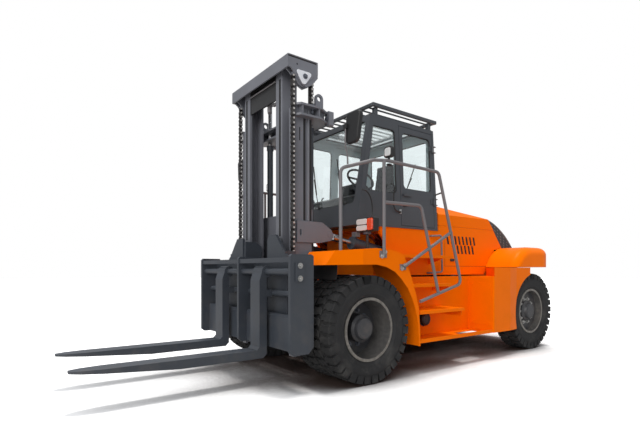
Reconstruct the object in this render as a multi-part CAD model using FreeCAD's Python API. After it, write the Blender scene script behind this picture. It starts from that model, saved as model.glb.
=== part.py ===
# Heavy counterbalance forklift with an enclosed cab, a two-stage mast and twin front wheels.
# Millimetres. +X points to the fork tips, +Y to the driver's left, +Z up.
# The model is laid out with X = 0 on the front axle and shifted at export,
# so that the origin lies under the middle of the whole truck.
import FreeCAD, Part
import math
import os

V = FreeCAD.Vector

# ---------------------------------------------------------------- driving dimensions
WHEELBASE = 3410.0
OVERALL_WIDTH = 2490.0
FORK_REACH = 2650.0          # front axle to fork tips
REAR_OVERHANG = 690.0        # rear axle to the back of the counterweight

TYRE_DIAMETER = 1136.0
TYRE_WIDTH = 300.0
TYRE_BORE = 640.0
TWIN_SPACING = 325.0         # centre to centre of the twin front tyres
REAR_WIDTH = 2300.0          # over the rear tyres
LUGS = 24                    # lugs on each shoulder
LUG_HEIGHT = 20.0
LUG_LENGTH = 96.0

KINGPIN_HALF_TRACK = 780.0
STEER_LOCK = 55.0            # degrees each way
FIT = 0.05                   # radial clearance of a shaft in its bore
GAP = 0.3                    # clearance between faces that pass each other

TILT_FORWARD = 6.0           # degrees
TILT_BACK = 10.0

OUTER_MAST_TOP = 2960.0
OUTER_MAST_BOTTOM = 250.0
OUTER_MAST_HALF_WIDTH = 600.0
CHANNEL_BACK = 300.0         # rear face of the mast channels
CHANNEL_DEPTH = 238.0
CHANNEL_WEB = 24.0
CHANNEL_FLANGE = 30.0
CHANNEL_WIDTH = 90.0
INNER_MAST_HALF_WIDTH = 446.0
INNER_CHANNEL_WIDTH = 136.0
INNER_CHANNEL_FRONT = 585.0
INNER_MAST_BOTTOM = 385.0
CROSSHEAD_WIDTH = 1337.0
CROSSHEAD_BACK = 265.0
CROSSHEAD_FRONT = 655.0
CROSSHEAD_TOP = 3468.0
CROSSHEAD_HEIGHT = 134.0
SHEAVE_X = 440.0
SHEAVE_Z = 3272.0
SHEAVE_RADIUS = 105.0
CHAIN_Y = 620.0
CHAIN_WIDTH = 46.0
CHAIN_THICKNESS = 30.0
CHAIN_PITCH = 50.8

CARRIAGE_HALF_WIDTH = 1105.0
CARRIAGE_PLATE = 40.0
CARRIAGE_BACK = 634.0
CARRIAGE_FRONT = 903.0
CARRIAGE_BOTTOM = 375.0
CARRIAGE_TOP = 1338.0
FORK_SHAFT_X = 840.0
FORK_SHAFT_Z = 1170.0
FORK_SHAFT_RADIUS = 32.5
LOWER_SHAFT_X = 752.0
LOWER_SHAFT_Z = 945.0
LOWER_SHAFT_RADIUS = 30.0
FORK_WIDTH = 200.0
FORK_THICKNESS = 86.0
FORK_HALF_SPREAD = 458.0
FORK_FACE = 930.0
FORK_TOP = 358.0

CAB_HALF_WIDTH_LOW = 715.0
CAB_HALF_WIDTH_TOP = 655.0
CAB_BOTTOM = 1720.0
CAB_TOP = 3089.0
CAB_WALL = 45.0
CAB_FRONT_LOW = -270.0
CAB_FRONT_TOP = -537.0
CAB_REAR_LOW = -1729.0
CAB_REAR_TOP = -1705.0
DOOR_FRONT = -1025.0
DOOR_REAR = -1661.0
DOOR_GAP = 6.0
DOOR_THICKNESS = 38.0
BELT_Z = 2150.0
DOOR_BELT_Z = 2230.0
WINDOW_TOP = 2955.0
GLASS = 6.0

BODY_HALF_WIDTH = 700.0
PANEL = 30.0
RAIL_RADIUS = 18.0
RAIL_Y = 1262.0

HOOD_PARTING = 1797.0        # joint between hood and engine side panels
HOOD_RISE_FRONT = 298.0      # hood top above the joint, at the cab
HOOD_RISE_REAR = 165.0
HOOD_GAP = 35.0              # cab to hood
SIDE_BOTTOM = 1120.0         # lower edge of the engine side panels

BOX_TOP = 1100.0             # side boxes with steps and tanks
BOX_BOTTOM = 345.0
BOX_HALF_WIDTH = 1232.0
WING_HALF_WIDTH = 1200.0     # counterweight over the rear wheels
WING_BOTTOM = 1230.0
WING_TOP = 1530.0
WING_CORNER = 500.0          # rear corners in plan
STEER_CLEARANCE = 25.0
TOW_HOLE = 22.0

# ---------------------------------------------------------------- derived places
AXLE_Z = TYRE_DIAMETER / 2
HALF_WIDTH = OVERALL_WIDTH / 2
REAR_X = -WHEELBASE
TAIL_X = REAR_X - REAR_OVERHANG
SHIFT_X = (-TAIL_X - FORK_REACH) / 2
FRONT_TWIN_Y = HALF_WIDTH - TYRE_WIDTH / 2 - TWIN_SPACING / 2
REAR_WHEEL_Y = REAR_WIDTH / 2 - TYRE_WIDTH / 2
HOOD_FRONT = CAB_REAR_LOW - HOOD_GAP
HOOD_REAR = REAR_X + 470
HOOD_TOP_FRONT = HOOD_PARTING + HOOD_RISE_FRONT
HOOD_TOP_REAR = HOOD_PARTING + HOOD_RISE_REAR
HINGE_X = REAR_X - 260       # hood hinge at the foot of the rear grille
HINGE_Z = WING_TOP - 27
WING_FRONT = REAR_X + 540
SIDES = {"left": 1, "right": -1}


# ---------------------------------------------------------------- small helpers
def box(x0, x1, y0, y1, z0, z1):
    low = V(min(x0, x1), min(y0, y1), min(z0, z1))
    return Part.makeBox(abs(x1 - x0), abs(y1 - y0), abs(z1 - z0), low)


def side_plate(points, y0, y1):
    """A plate whose outline is given as (x, z) points, from y0 to y1."""
    corners = [V(x, y0, z) for x, z in points]
    face = Part.Face(Part.makePolygon(corners + corners[:1]))
    return face.extrude(V(0, y1 - y0, 0))


def front_plate(points, x0, x1):
    """A plate whose outline is given as (y, z) points, from x0 to x1."""
    corners = [V(x0, y, z) for y, z in points]
    face = Part.Face(Part.makePolygon(corners + corners[:1]))
    return face.extrude(V(x1 - x0, 0, 0))


def top_plate(points, z0, z1):
    """A plate whose outline is given as (x, y) points, from z0 to z1."""
    corners = [V(x, y, z0) for x, y in points]
    face = Part.Face(Part.makePolygon(corners + corners[:1]))
    return face.extrude(V(0, 0, z1 - z0))


def rod(start, end, radius):
    start, end = V(*start), V(*end)
    return Part.makeCylinder(radius, (end - start).Length, start, end - start)


def tube(start, end, outer, inner):
    return rod(start, end, outer).cut(rod(start, end, inner))


def cross_pin(x, z, y0, y1, radius):
    return rod((x, min(y0, y1), z), (x, max(y0, y1), z), radius)


def fuse(shapes):
    result = shapes[0].fuse(shapes[1:]) if len(shapes) > 1 else shapes[0]
    return result.removeSplitter()


def mirrored(shape):
    return shape.mirror(V(0, 0, 0), V(0, 1, 0))


def for_side(shape, sign):
    return shape if sign > 0 else mirrored(shape)


def both_sides(shape):
    return Part.makeCompound([shape, mirrored(shape)])


def revolved(profile, centre=(0, 0, 0)):
    """A body turned about the Y direction; the profile is (y, radius) points."""
    corners = [V(0, y, r) for y, r in profile]
    face = Part.Face(Part.makePolygon(corners + corners[:1]))
    body = face.revolve(V(0, 0, 0), V(0, 1, 0), 360)
    body.translate(V(*centre))
    return body


def bent_tube(points, bend, radius):
    """A round tube along straight runs joined by arcs of one bend radius."""
    points = [V(*p) for p in points]
    edges = []
    at = points[0]
    for before, corner, after in zip(points, points[1:], points[2:]):
        a = (before - corner).normalize()
        b = (after - corner).normalize()
        half = a.getAngle(b) / 2
        back = bend / math.tan(half)
        start = corner + a * back
        end = corner + b * back
        middle = corner + (a + b).normalize() * (bend / math.sin(half) - bend)
        edges.append(Part.LineSegment(at, start).toShape())
        edges.append(Part.Arc(start, middle, end).toShape())
        at = end
    edges.append(Part.LineSegment(at, points[-1]).toShape())
    path = Part.Wire(edges)
    ring = Part.Wire([Part.makeCircle(radius, points[0], points[1] - points[0])])
    return path.makePipeShell([ring], True, False)


def rounded(shape, radius, pick):
    """Round the edges that pick chooses."""
    edges = [e for e in shape.Edges if pick(e)]
    return shape.makeFillet(radius, edges) if edges else shape


def along(edge, axis):
    if edge.Curve.TypeId != "Part::GeomLine":
        return False
    d = edge.Vertexes[-1].Point - edge.Vertexes[0].Point
    return d.Length > 1e-6 and abs(abs(d.normalize().dot(axis)) - 1) < 1e-6


def export(name, shape):
    moved = shape.copy()
    moved.translate(V(SHIFT_X, 0, 0))
    moved.exportStep("parts/" + name + ".step")


os.makedirs("parts", exist_ok=True)


# ---------------------------------------------------------------- wheels
RIM_RADIUS = TYRE_BORE / 2 - GAP
RIM_BARREL = 16.0
RIM_FLANGE_RADIUS = 334.0
RIM_FLANGE = 12.0
BEAD_HALF_WIDTH = 112.0
SPINDLE_RADIUS = 60.0
HUB_RADIUS = 150.0
DISC = 24.0


def tyre():
    """One tyre about the Y axis: a casing with lugs on both shoulders."""
    half = TYRE_WIDTH / 2
    tread = TYRE_DIAMETER / 2
    base = tread - LUG_HEIGHT
    crest = math.sqrt(tread ** 2 - (LUG_LENGTH / 2) ** 2)
    bore = TYRE_BORE / 2
    side = [(BEAD_HALF_WIDTH, bore), (BEAD_HALF_WIDTH, RIM_FLANGE_RADIUS + 2),
            (half - 6, bore + 70), (half, bore + 140),
            (half - 8, base - 40), (half - 30, base)]
    casing = revolved(side + [(-y, r) for y, r in reversed(side)])
    shoulder = [(half * 0.1, base - 6), (half * 0.1, crest), (half - 28, crest),
                (half - 2, base - 34), (half - 9, base - 44)]
    corners = [V(-LUG_LENGTH / 2, y, r) for y, r in shoulder]
    block = Part.Face(Part.makePolygon(corners + corners[:1])).extrude(V(LUG_LENGTH, 0, 0))
    lugs = []
    for n in range(LUGS):
        outer = block.copy()
        outer.rotate(V(0, 0, 0), V(0, 1, 0), 360.0 * (n + 0.25) / LUGS)
        inner = mirrored(block)
        inner.rotate(V(0, 0, 0), V(0, 1, 0), 360.0 * (n - 0.25) / LUGS)
        lugs += [outer, inner]
    return casing.fuse(lugs)


def rim_barrel(centre_y):
    """The rolled rim that one tyre sits on, with its two flanges."""
    edge = BEAD_HALF_WIDTH + RIM_FLANGE
    inside = RIM_RADIUS - RIM_BARREL
    seat = BEAD_HALF_WIDTH + GAP
    profile = [(-edge, inside), (-edge, RIM_FLANGE_RADIUS), (-seat, RIM_FLANGE_RADIUS),
               (-seat, RIM_RADIUS), (seat, RIM_RADIUS), (seat, RIM_FLANGE_RADIUS),
               (edge, RIM_FLANGE_RADIUS), (edge, inside)]
    return revolved([(y + centre_y, r) for y, r in profile])


def hub(inner_y, outer_y, disc_y, bore_end):
    """Wheel disc and hub with its domed cap; the bore runs on the spindle."""
    disc = revolved([(disc_y, SPINDLE_RADIUS + 40), (disc_y, RIM_RADIUS - 4),
                     (disc_y + DISC, RIM_RADIUS - 4), (disc_y + DISC, SPINDLE_RADIUS + 40)])
    bore = SPINDLE_RADIUS + FIT
    body = revolved([(inner_y, bore), (inner_y, HUB_RADIUS), (outer_y - 60, HUB_RADIUS),
                     (outer_y - 40, HUB_RADIUS - 25), (outer_y - 8, HUB_RADIUS - 40),
                     (outer_y, HUB_RADIUS - 58), (outer_y, 0), (bore_end, 0),
                     (bore_end, bore)])
    return disc.fuse(body)


FRONT_SPINDLE_END = 150.0    # how far the spindle reaches past the twins' middle
one_tyre = tyre()
for side, sign in SIDES.items():
    twins = []
    for offset in (-TWIN_SPACING / 2, TWIN_SPACING / 2):
        copy = one_tyre.copy()
        copy.translate(V(0, sign * (FRONT_TWIN_Y + offset), AXLE_Z))
        twins.append(copy)
    export("tyres_front_" + side, Part.makeCompound(twins))
    rim = fuse([rim_barrel(-TWIN_SPACING / 2), rim_barrel(TWIN_SPACING / 2),
                revolved([(-60, RIM_RADIUS - RIM_BARREL), (-60, RIM_RADIUS),
                          (60, RIM_RADIUS), (60, RIM_RADIUS - RIM_BARREL)]),
                hub(-90, 225, 0, FRONT_SPINDLE_END + 5)])
    rim = for_side(rim, sign)
    rim.translate(V(0, sign * FRONT_TWIN_Y, AXLE_Z))
    export("rims_front_" + side, rim)

    rear = one_tyre.copy()
    rear.translate(V(REAR_X, sign * REAR_WHEEL_Y, AXLE_Z))
    export("tyre_rear_" + side, rear)
    rear_rim = fuse([rim_barrel(0), hub(-70, 120, 10, 65)])
    rear_rim = for_side(rear_rim, sign)
    rear_rim.translate(V(REAR_X, sign * REAR_WHEEL_Y, AXLE_Z))
    export("rim_rear_" + side, rear_rim)

# ---------------------------------------------------------------- axles and knuckles
AXLE_TUBE = 118.0
AXLE_END = FRONT_TWIN_Y - 90 - 12
housing = revolved([(-170, 0), (-170, 130), (-110, 215), (-40, 245), (40, 245), (110, 215),
                    (170, 130), (170, 0)])
axle_tube = revolved([(-AXLE_END, 0), (-AXLE_END, AXLE_TUBE + 32), (-AXLE_END + 30, AXLE_TUBE + 32),
                      (-AXLE_END + 30, AXLE_TUBE), (AXLE_END - 30, AXLE_TUBE),
                      (AXLE_END - 30, AXLE_TUBE + 32), (AXLE_END, AXLE_TUBE + 32), (AXLE_END, 0)])
spindle_end = FRONT_TWIN_Y + FRONT_SPINDLE_END
spindles = cross_pin(0, 0, -spindle_end, spindle_end, SPINDLE_RADIUS)
front_axle = fuse([housing, axle_tube, spindles])
front_axle.translate(V(0, 0, AXLE_Z))
export("front_axle", front_axle)

KINGPIN_RADIUS = 34.0
KNUCKLE_HALF_HEIGHT = 88.0
YOKE = 34.0
beam_half = KINGPIN_HALF_TRACK - 120
beam = side_plate([(REAR_X - 120, AXLE_Z - 95), (REAR_X - 120, AXLE_Z + 95),
                   (REAR_X + 120, AXLE_Z + 95), (REAR_X + 120, AXLE_Z - 95)],
                  -beam_half, beam_half)
STEER_CYLINDER = 58.0
steer_cylinder = cross_pin(REAR_X + 120 + STEER_CYLINDER - 8, AXLE_Z, -330, 330, STEER_CYLINDER)
eyes = []
for sign in (1, -1):
    y = sign * KINGPIN_HALF_TRACK
    pin_low = AXLE_Z - KNUCKLE_HALF_HEIGHT - YOKE
    pin_high = AXLE_Z + KNUCKLE_HALF_HEIGHT + YOKE
    for low in (pin_low, AXLE_Z + KNUCKLE_HALF_HEIGHT + GAP):
        arm = box(REAR_X - 70, REAR_X + 70, sign * (beam_half - 10), y, low, low + YOKE - GAP)
        end = Part.makeCylinder(70, YOKE - GAP, V(REAR_X, y, low))
        eyes += [arm, end]
    eyes.append(box(REAR_X - 110, REAR_X + 110, sign * (beam_half - 60), sign * beam_half,
                    pin_low, pin_high))
    eyes.append(Part.makeCylinder(KINGPIN_RADIUS, pin_high - pin_low, V(REAR_X, y, pin_low)))
steer_axle = fuse([beam, steer_cylinder] + eyes)
export("steer_axle", steer_axle)

for side, sign in SIDES.items():
    y = KINGPIN_HALF_TRACK
    bore = KINGPIN_RADIUS + FIT
    barrel = Part.makeCylinder(68, 2 * KNUCKLE_HALF_HEIGHT, V(REAR_X, y, AXLE_Z - KNUCKLE_HALF_HEIGHT))
    flange = cross_pin(REAR_X, AXLE_Z, y + 40, y + 100, 84)
    stub = cross_pin(REAR_X, AXLE_Z, y + 90, REAR_WHEEL_Y + 60, SPINDLE_RADIUS)
    knuckle = fuse([barrel, flange, stub])
    knuckle = knuckle.cut(Part.makeCylinder(bore, 400, V(REAR_X, y, AXLE_Z - 200)))
    export("knuckle_" + side, for_side(knuckle, sign))

# ---------------------------------------------------------------- chassis frame
FRAME_Y = 330.0
FRAME_PLATE = 40.0
FRAME_TOP = 1000.0
FRAME_LOW = 400.0
REAR_FRAME_TOP = 900.0
BOX_INNER = 700.0            # inner side of the fenders and side boxes
FENDER_INNER = 690.0
frame_side = side_plate([(165, FRAME_LOW + 60), (165, FRAME_TOP - 120), (-60, FRAME_TOP),
                         (REAR_X + 710, FRAME_TOP), (REAR_X + 350, REAR_FRAME_TOP),
                         (REAR_X - 130, REAR_FRAME_TOP), (REAR_X - 130, AXLE_Z + 95),
                         (REAR_X + 250, AXLE_Z + 95), (REAR_X + 320, FRAME_LOW), (-60, FRAME_LOW)],
                        FRAME_Y - FRAME_PLATE, FRAME_Y)
frame_side = frame_side.cut(cross_pin(0, AXLE_Z, 0, FRAME_Y + 10, AXLE_TUBE))
frame_parts = [frame_side, mirrored(frame_side)]
for x, low, high in ((-330, 430, 980), (-1500, 430, 620), (REAR_X + 850, 430, 980)):
    frame_parts.append(box(x - 20, x + 20, -FRAME_Y + FRAME_PLATE, FRAME_Y - FRAME_PLATE, low, high))
floor_plate = box(REAR_X + 910, -330, -FRAME_Y, FRAME_Y, FRAME_TOP, FRAME_TOP + 16)
frame_parts.append(floor_plate)
for sign in (1, -1):
    # outriggers that carry the fenders, steps and tanks
    for x, end in ((-640, FENDER_INNER), (REAR_X + 1310, BOX_INNER)):
        frame_parts.append(box(x - 60, x + 60, sign * (FRAME_Y - 5), sign * end, 860, 960))
        # post under the lower edge of the body side
        frame_parts.append(box(x - 50, x + 50, sign * (end - 50), sign * end, 955, SIDE_BOTTOM))
chassis = fuse(frame_parts)

# tilt cylinder brackets on the chassis
TILT_EYE_X = 60.0
TILT_EYE_Z = 1583.0
TILT_BASE_X = -900.0
TILT_BASE_Z = 1395.0
TILT_Y = 570.0
TILT_PIN = 30.0
lug_half = 28.0
for sign in (1, -1):
    for y in (TILT_Y - lug_half - 22, TILT_Y + lug_half + 2):
        plate = side_plate([(TILT_BASE_X - 130, FRAME_TOP), (TILT_BASE_X - 60, TILT_BASE_Z + 55),
                            (TILT_BASE_X + 60, TILT_BASE_Z + 55), (TILT_BASE_X + 150, FRAME_TOP)],
                           sign * y, sign * (y + 20))
        chassis = chassis.fuse(plate)
    base = box(TILT_BASE_X - 140, TILT_BASE_X + 160, sign * (FRAME_Y - 20),
               sign * (TILT_Y + lug_half + 22), FRAME_TOP - 24, FRAME_TOP)
    pin = cross_pin(TILT_BASE_X, TILT_BASE_Z, sign * (TILT_Y - lug_half - 24),
                    sign * (TILT_Y + lug_half + 24), TILT_PIN)
    chassis = chassis.fuse([base, pin])
chassis = chassis.removeSplitter()
export("chassis_frame", chassis)

# ---------------------------------------------------------------- tilt cylinders
slope = math.atan2(TILT_EYE_Z - TILT_BASE_Z, TILT_EYE_X - TILT_BASE_X)
reach = math.hypot(TILT_EYE_X - TILT_BASE_X, TILT_EYE_Z - TILT_BASE_Z)
BARREL_RADIUS = 70.0
BARREL_END = 610.0
TILT_ROD = 30.0
EYE_CLEARANCE = 8.0


def on_cylinder(distance, y):
    return (TILT_BASE_X + distance * math.cos(slope), y,
            TILT_BASE_Z + distance * math.sin(slope))


y = TILT_Y
barrel = rod(on_cylinder(75, y), on_cylinder(BARREL_END, y), BARREL_RADIUS)
head = rod(on_cylinder(BARREL_END - 60, y), on_cylinder(BARREL_END, y), BARREL_RADIUS + 8)
eye = cross_pin(TILT_BASE_X, TILT_BASE_Z, y - lug_half + 1, y + lug_half - 1, 52)
neck = rod(on_cylinder(30, y), on_cylinder(80, y), 26)
barrel = fuse([barrel, head, eye, neck])
barrel = barrel.cut(cross_pin(TILT_BASE_X, TILT_BASE_Z, y - 100, y + 100, TILT_PIN + FIT))
barrel = barrel.cut(rod(on_cylinder(150, y), on_cylinder(BARREL_END + 10, y), TILT_ROD + FIT))
export("tilt_barrels", both_sides(barrel))

EYE_RADIUS_TILT = 62.0
EYE_HALF = 23.0
shaft = rod(on_cylinder(360, y), on_cylinder(reach - 100, y), TILT_ROD)
clevis = rod(on_cylinder(reach - 170, y), on_cylinder(reach - 82, y), 42)
shank = cross_pin(TILT_EYE_X, TILT_EYE_Z, y - EYE_HALF, y + EYE_HALF, EYE_RADIUS_TILT)
blade = rod(on_cylinder(reach - 130, y), on_cylinder(reach - 30, y), 42)
blade = blade.common(box(TILT_BASE_X, TILT_EYE_X, y - EYE_HALF, y + EYE_HALF, 1000, 2000))
shaft = fuse([shaft, clevis, shank, blade])
hole = TILT_PIN + EYE_CLEARANCE
shaft = shaft.cut(cross_pin(TILT_EYE_X, TILT_EYE_Z, y - 100, y + 100, hole))
export("tilt_rods", both_sides(shaft))

# ---------------------------------------------------------------- outer mast
channel_front = CHANNEL_BACK + CHANNEL_DEPTH


def channel(back, depth, outer_y, width, web, flange, low, high):
    """A rolled channel with its web outside and its flanges pointing inwards."""
    full = box(back, back + depth, outer_y - width, outer_y, low, high)
    return full.cut(box(back + flange, back + depth - flange, outer_y - width - 1,
                        outer_y - web, low - 1, high + 1))


outer_channel = channel(CHANNEL_BACK, CHANNEL_DEPTH, OUTER_MAST_HALF_WIDTH, CHANNEL_WIDTH,
                        CHANNEL_WEB, CHANNEL_FLANGE, OUTER_MAST_BOTTOM, OUTER_MAST_TOP)
# tilt bracket: two plates beside the rod eye, welded behind the channel
BRACKET_FRONT = 506.0
bracket_outline = [(CHANNEL_BACK + 60, 1490), (CHANNEL_BACK + 60, 1722), (170, 1722),
                   (TILT_EYE_X - 20, TILT_EYE_Z + 62), (TILT_EYE_X - 60, TILT_EYE_Z),
                   (TILT_EYE_X - 20, TILT_EYE_Z - 62), (200, 1490)]
inner_plate = side_plate([(min(x, CHANNEL_BACK), z) for x, z in bracket_outline], TILT_Y - 51, TILT_Y - 29)
outer_plate = side_plate([(x if x < CHANNEL_BACK else BRACKET_FRONT, z) for x, z in bracket_outline],
                         OUTER_MAST_HALF_WIDTH, OUTER_MAST_HALF_WIDTH + 22)
slot = box(BRACKET_FRONT - 58, BRACKET_FRONT - 34, 0, 700, 1578, 1622)
for z in (1578, 1622):
    slot = slot.fuse(cross_pin(BRACKET_FRONT - 46, z, 0, 700, 12))
outer_plate = outer_plate.cut(slot)
bracket_plates = [inner_plate, outer_plate]
tilt_pin = cross_pin(TILT_EYE_X, TILT_EYE_Z, TILT_Y - 55, OUTER_MAST_HALF_WIDTH + 26, TILT_PIN)
# mast foot: a plate behind the channel with the bearing that turns on the axle tube
FOOT_Y = 540.0
foot = side_plate([(CHANNEL_BACK + 1, OUTER_MAST_BOTTOM), (CHANNEL_BACK + 1, 900),
                   (60, AXLE_Z + 175), (-150, AXLE_Z + 90), (-150, AXLE_Z - 90),
                   (60, AXLE_Z - 170)], FOOT_Y - 40, FOOT_Y + 20)
foot = foot.fuse(cross_pin(0, AXLE_Z, FOOT_Y - 40, FOOT_Y + 20, AXLE_TUBE + 44))
foot = foot.cut(cross_pin(0, AXLE_Z, 0, 800, AXLE_TUBE + FIT))
outer_channels = fuse([outer_channel, tilt_pin, foot] + bracket_plates)
export("mast_outer_channels", both_sides(outer_channels))

# outer crossmembers: an open box head at the top and two ties behind
HEAD_HALF_WIDTH = 690.0
HEAD_PLATE = 22.0
HEAD_UPPER = 2962.0
HEAD_LOWER = 2850.0
HEAD_FRONT = 530.0
HEAD_BACK = 60.0
LUG_X = 202.0
LUG_Y = 600.0
LUG_Z = 3105.0
LUG_RADIUS = 54.0
LUG_PLATE = 26.0
LUG_HOLE = 28.0
LIFT_X = 215.0
LIFT_Y = 455.0
LIFT_BARREL = 38.0
LIFT_ROD = 26.0
LIFT_TOP = 2810.0
web = OUTER_MAST_HALF_WIDTH
flange_plan = [(HEAD_FRONT, HEAD_HALF_WIDTH - 45), (HEAD_FRONT - 30, HEAD_HALF_WIDTH),
               (230, HEAD_HALF_WIDTH), (HEAD_BACK, 590), (HEAD_BACK, -590),
               (230, -HEAD_HALF_WIDTH), (HEAD_FRONT - 30, -HEAD_HALF_WIDTH),
               (HEAD_FRONT, -HEAD_HALF_WIDTH + 45), (HEAD_FRONT, -web), (CHANNEL_BACK, -web),
               (CHANNEL_BACK, web), (HEAD_FRONT, web)]
head_parts = []
for z in (HEAD_LOWER, HEAD_UPPER):
    head_parts.append(top_plate(flange_plan, z, z + HEAD_PLATE))
head_parts.append(box(110, 132, -575, 575, HEAD_LOWER, HEAD_UPPER))
for sign in (1, -1):
    head_parts.append(box(110, CHANNEL_BACK, sign * 560, sign * 582, HEAD_LOWER, HEAD_UPPER))
    head_parts.append(box(CHANNEL_BACK, HEAD_FRONT - 10, sign * web, sign * (web + 9),
                          HEAD_LOWER, HEAD_UPPER))
    # lifting lug, rounded about its hole
    lug_in = sign * (LUG_Y - LUG_PLATE / 2)
    lug_out = sign * (LUG_Y + LUG_PLATE / 2)
    lug = side_plate([(LUG_X - LUG_RADIUS, HEAD_UPPER), (LUG_X - LUG_RADIUS, LUG_Z),
                      (LUG_X + LUG_RADIUS, LUG_Z), (LUG_X + LUG_RADIUS, HEAD_UPPER)], lug_in, lug_out)
    lug = lug.fuse(cross_pin(LUG_X, LUG_Z, lug_in, lug_out, LUG_RADIUS))
    head_parts.append(lug.cut(cross_pin(LUG_X, LUG_Z, -700, 700, LUG_HOLE)))
    # rounded end block behind the flanges
    end = box(HEAD_BACK - 42, HEAD_BACK + 22, sign * 560, sign * 640, HEAD_LOWER - 24, HEAD_UPPER + 30)
    head_parts.append(rounded(end, 16, lambda e: along(e, V(1, 0, 0))))
    # upright ribs between the two flanges
    for x in (HEAD_FRONT - 60, 250):
        head_parts.append(box(x - 8, x + 8, sign * web, sign * (HEAD_HALF_WIDTH - 8),
                              HEAD_LOWER, HEAD_UPPER))
head = fuse(head_parts)
for sign in (1, -1):
    head = head.cut(Part.makeCylinder(LIFT_ROD + 6, 400, V(LIFT_X, sign * LIFT_Y, 2700)))
ties = []
ties.append(box(CHANNEL_BACK - 22, CHANNEL_BACK, -FOOT_Y + 40, FOOT_Y - 40, 630, 780))
middle_tie = side_plate([(CHANNEL_BACK - 22, 1330), (CHANNEL_BACK - 22, 1818), (CHANNEL_BACK - 44, 1840),
                         (CHANNEL_BACK - 44, 1862), (CHANNEL_BACK, 1862), (CHANNEL_BACK, 1330)],
                        -web + 95, web - 95)
wings = box(CHANNEL_BACK - 22, CHANNEL_BACK, -web + 10, web - 10, 1724, 1860)
ties.append(fuse([middle_tie, wings]))
ties.append(box(LIFT_X - 60, CHANNEL_BACK, -500, 500, OUTER_MAST_BOTTOM, OUTER_MAST_BOTTOM + 40))
export("mast_outer_crossmembers", Part.makeCompound([head] + ties))

# ---------------------------------------------------------------- lift cylinders
barrel_low = OUTER_MAST_BOTTOM + 40
lift_barrel = Part.makeCylinder(LIFT_BARREL, LIFT_TOP - barrel_low, V(LIFT_X, LIFT_Y, barrel_low))
collar = Part.makeCylinder(LIFT_BARREL + 7, 60, V(LIFT_X, LIFT_Y, LIFT_TOP - 60))
lift_barrel = lift_barrel.fuse(collar)
lift_barrel = lift_barrel.cut(Part.makeCylinder(LIFT_ROD + FIT, 3000, V(LIFT_X, LIFT_Y, barrel_low + 60)))
export("lift_barrels", both_sides(lift_barrel))
ROD_LOW = 1250.0
cap_low = CROSSHEAD_TOP - CROSSHEAD_HEIGHT
lift_rod = Part.makeCylinder(LIFT_ROD, cap_low - ROD_LOW, V(LIFT_X, LIFT_Y, ROD_LOW))
export("lift_rods", both_sides(lift_rod))

# ---------------------------------------------------------------- inner mast
inner_depth = 190.0
inner_back = INNER_CHANNEL_FRONT - inner_depth
inner_channel = channel(inner_back, inner_depth, INNER_MAST_HALF_WIDTH, INNER_CHANNEL_WIDTH,
                        22, 28, INNER_MAST_BOTTOM, CROSSHEAD_TOP - 20)
export("mast_inner_channels", both_sides(inner_channel))

half = CROSSHEAD_WIDTH / 2
cap_low = CROSSHEAD_TOP - CROSSHEAD_HEIGHT
cap = box(CROSSHEAD_BACK, CROSSHEAD_FRONT, -half, half, cap_low, CROSSHEAD_TOP)
cap = cap.cut(box(CROSSHEAD_BACK - 1, CROSSHEAD_FRONT - 18, -half + 22, half - 22,
                  cap_low - 1, CROSSHEAD_TOP - 20))
cap_parts = [cap]
KEEPER_REACH = 140.0
KEEPER_RISE = 48.0
KEEPER_DROP = 88.0
KEEPER_PLATE = 8.0
side_outline = [(CROSSHEAD_BACK, CROSSHEAD_TOP - 30), (CROSSHEAD_FRONT, cap_low + 30),
                (CROSSHEAD_FRONT - 70, cap_low - 20), (480, 3190), (417, 3164), (350, 3200),
                (CROSSHEAD_BACK, cap_low - 40)]
for sign in (1, -1):
    cap_parts.append(side_plate(side_outline, sign * (half - 22), sign * half))
    cap_parts.append(side_plate(side_outline, sign * (half - 92), sign * (half - 78)))
    cap_parts.append(cross_pin(SHEAVE_X, SHEAVE_Z, sign * (half - 92), sign * (half + 8), 34))
    # three-cornered keeper plate over the end of the sheave pin
    keeper = side_plate([(SHEAVE_X - KEEPER_REACH, SHEAVE_Z + KEEPER_RISE), (SHEAVE_X, SHEAVE_Z - KEEPER_DROP),
                         (SHEAVE_X + KEEPER_REACH, SHEAVE_Z + KEEPER_RISE)],
                        sign * (half - 1), sign * (half + KEEPER_PLATE))
    cap_parts.append(rounded(keeper, 22, lambda e: along(e, V(0, 1, 0))))
    sheave = revolved([(-24, 30), (-24, SHEAVE_RADIUS), (-18, SHEAVE_RADIUS - 14),
                       (18, SHEAVE_RADIUS - 14), (24, SHEAVE_RADIUS), (24, 30)])
    sheave.translate(V(SHEAVE_X, sign * CHAIN_Y, SHEAVE_Z))
    wrap = revolved([(-CHAIN_WIDTH / 2, SHEAVE_RADIUS), (-CHAIN_WIDTH / 2, SHEAVE_RADIUS + CHAIN_THICKNESS),
                     (CHAIN_WIDTH / 2, SHEAVE_RADIUS + CHAIN_THICKNESS), (CHAIN_WIDTH / 2, SHEAVE_RADIUS)])
    wrap = wrap.common(box(-300, 300, -100, 100, 0, 300))
    wrap.translate(V(SHEAVE_X, sign * CHAIN_Y, SHEAVE_Z))
    cap_parts += [sheave, wrap]
    cap_parts.append(box(LIFT_X - 36, CROSSHEAD_BACK + 5, sign * (LIFT_Y - 40), sign * (LIFT_Y + 40),
                         cap_low, cap_low + 60))
tie_half = INNER_MAST_HALF_WIDTH - INNER_CHANNEL_WIDTH
TIE_LOW = 3105.0
tie_front = box(INNER_CHANNEL_FRONT - 30, INNER_CHANNEL_FRONT - 8, -tie_half, tie_half, TIE_LOW, CROSSHEAD_TOP - 20)
cap_parts.append(tie_front)
export("crosshead", fuse(cap_parts))

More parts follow.
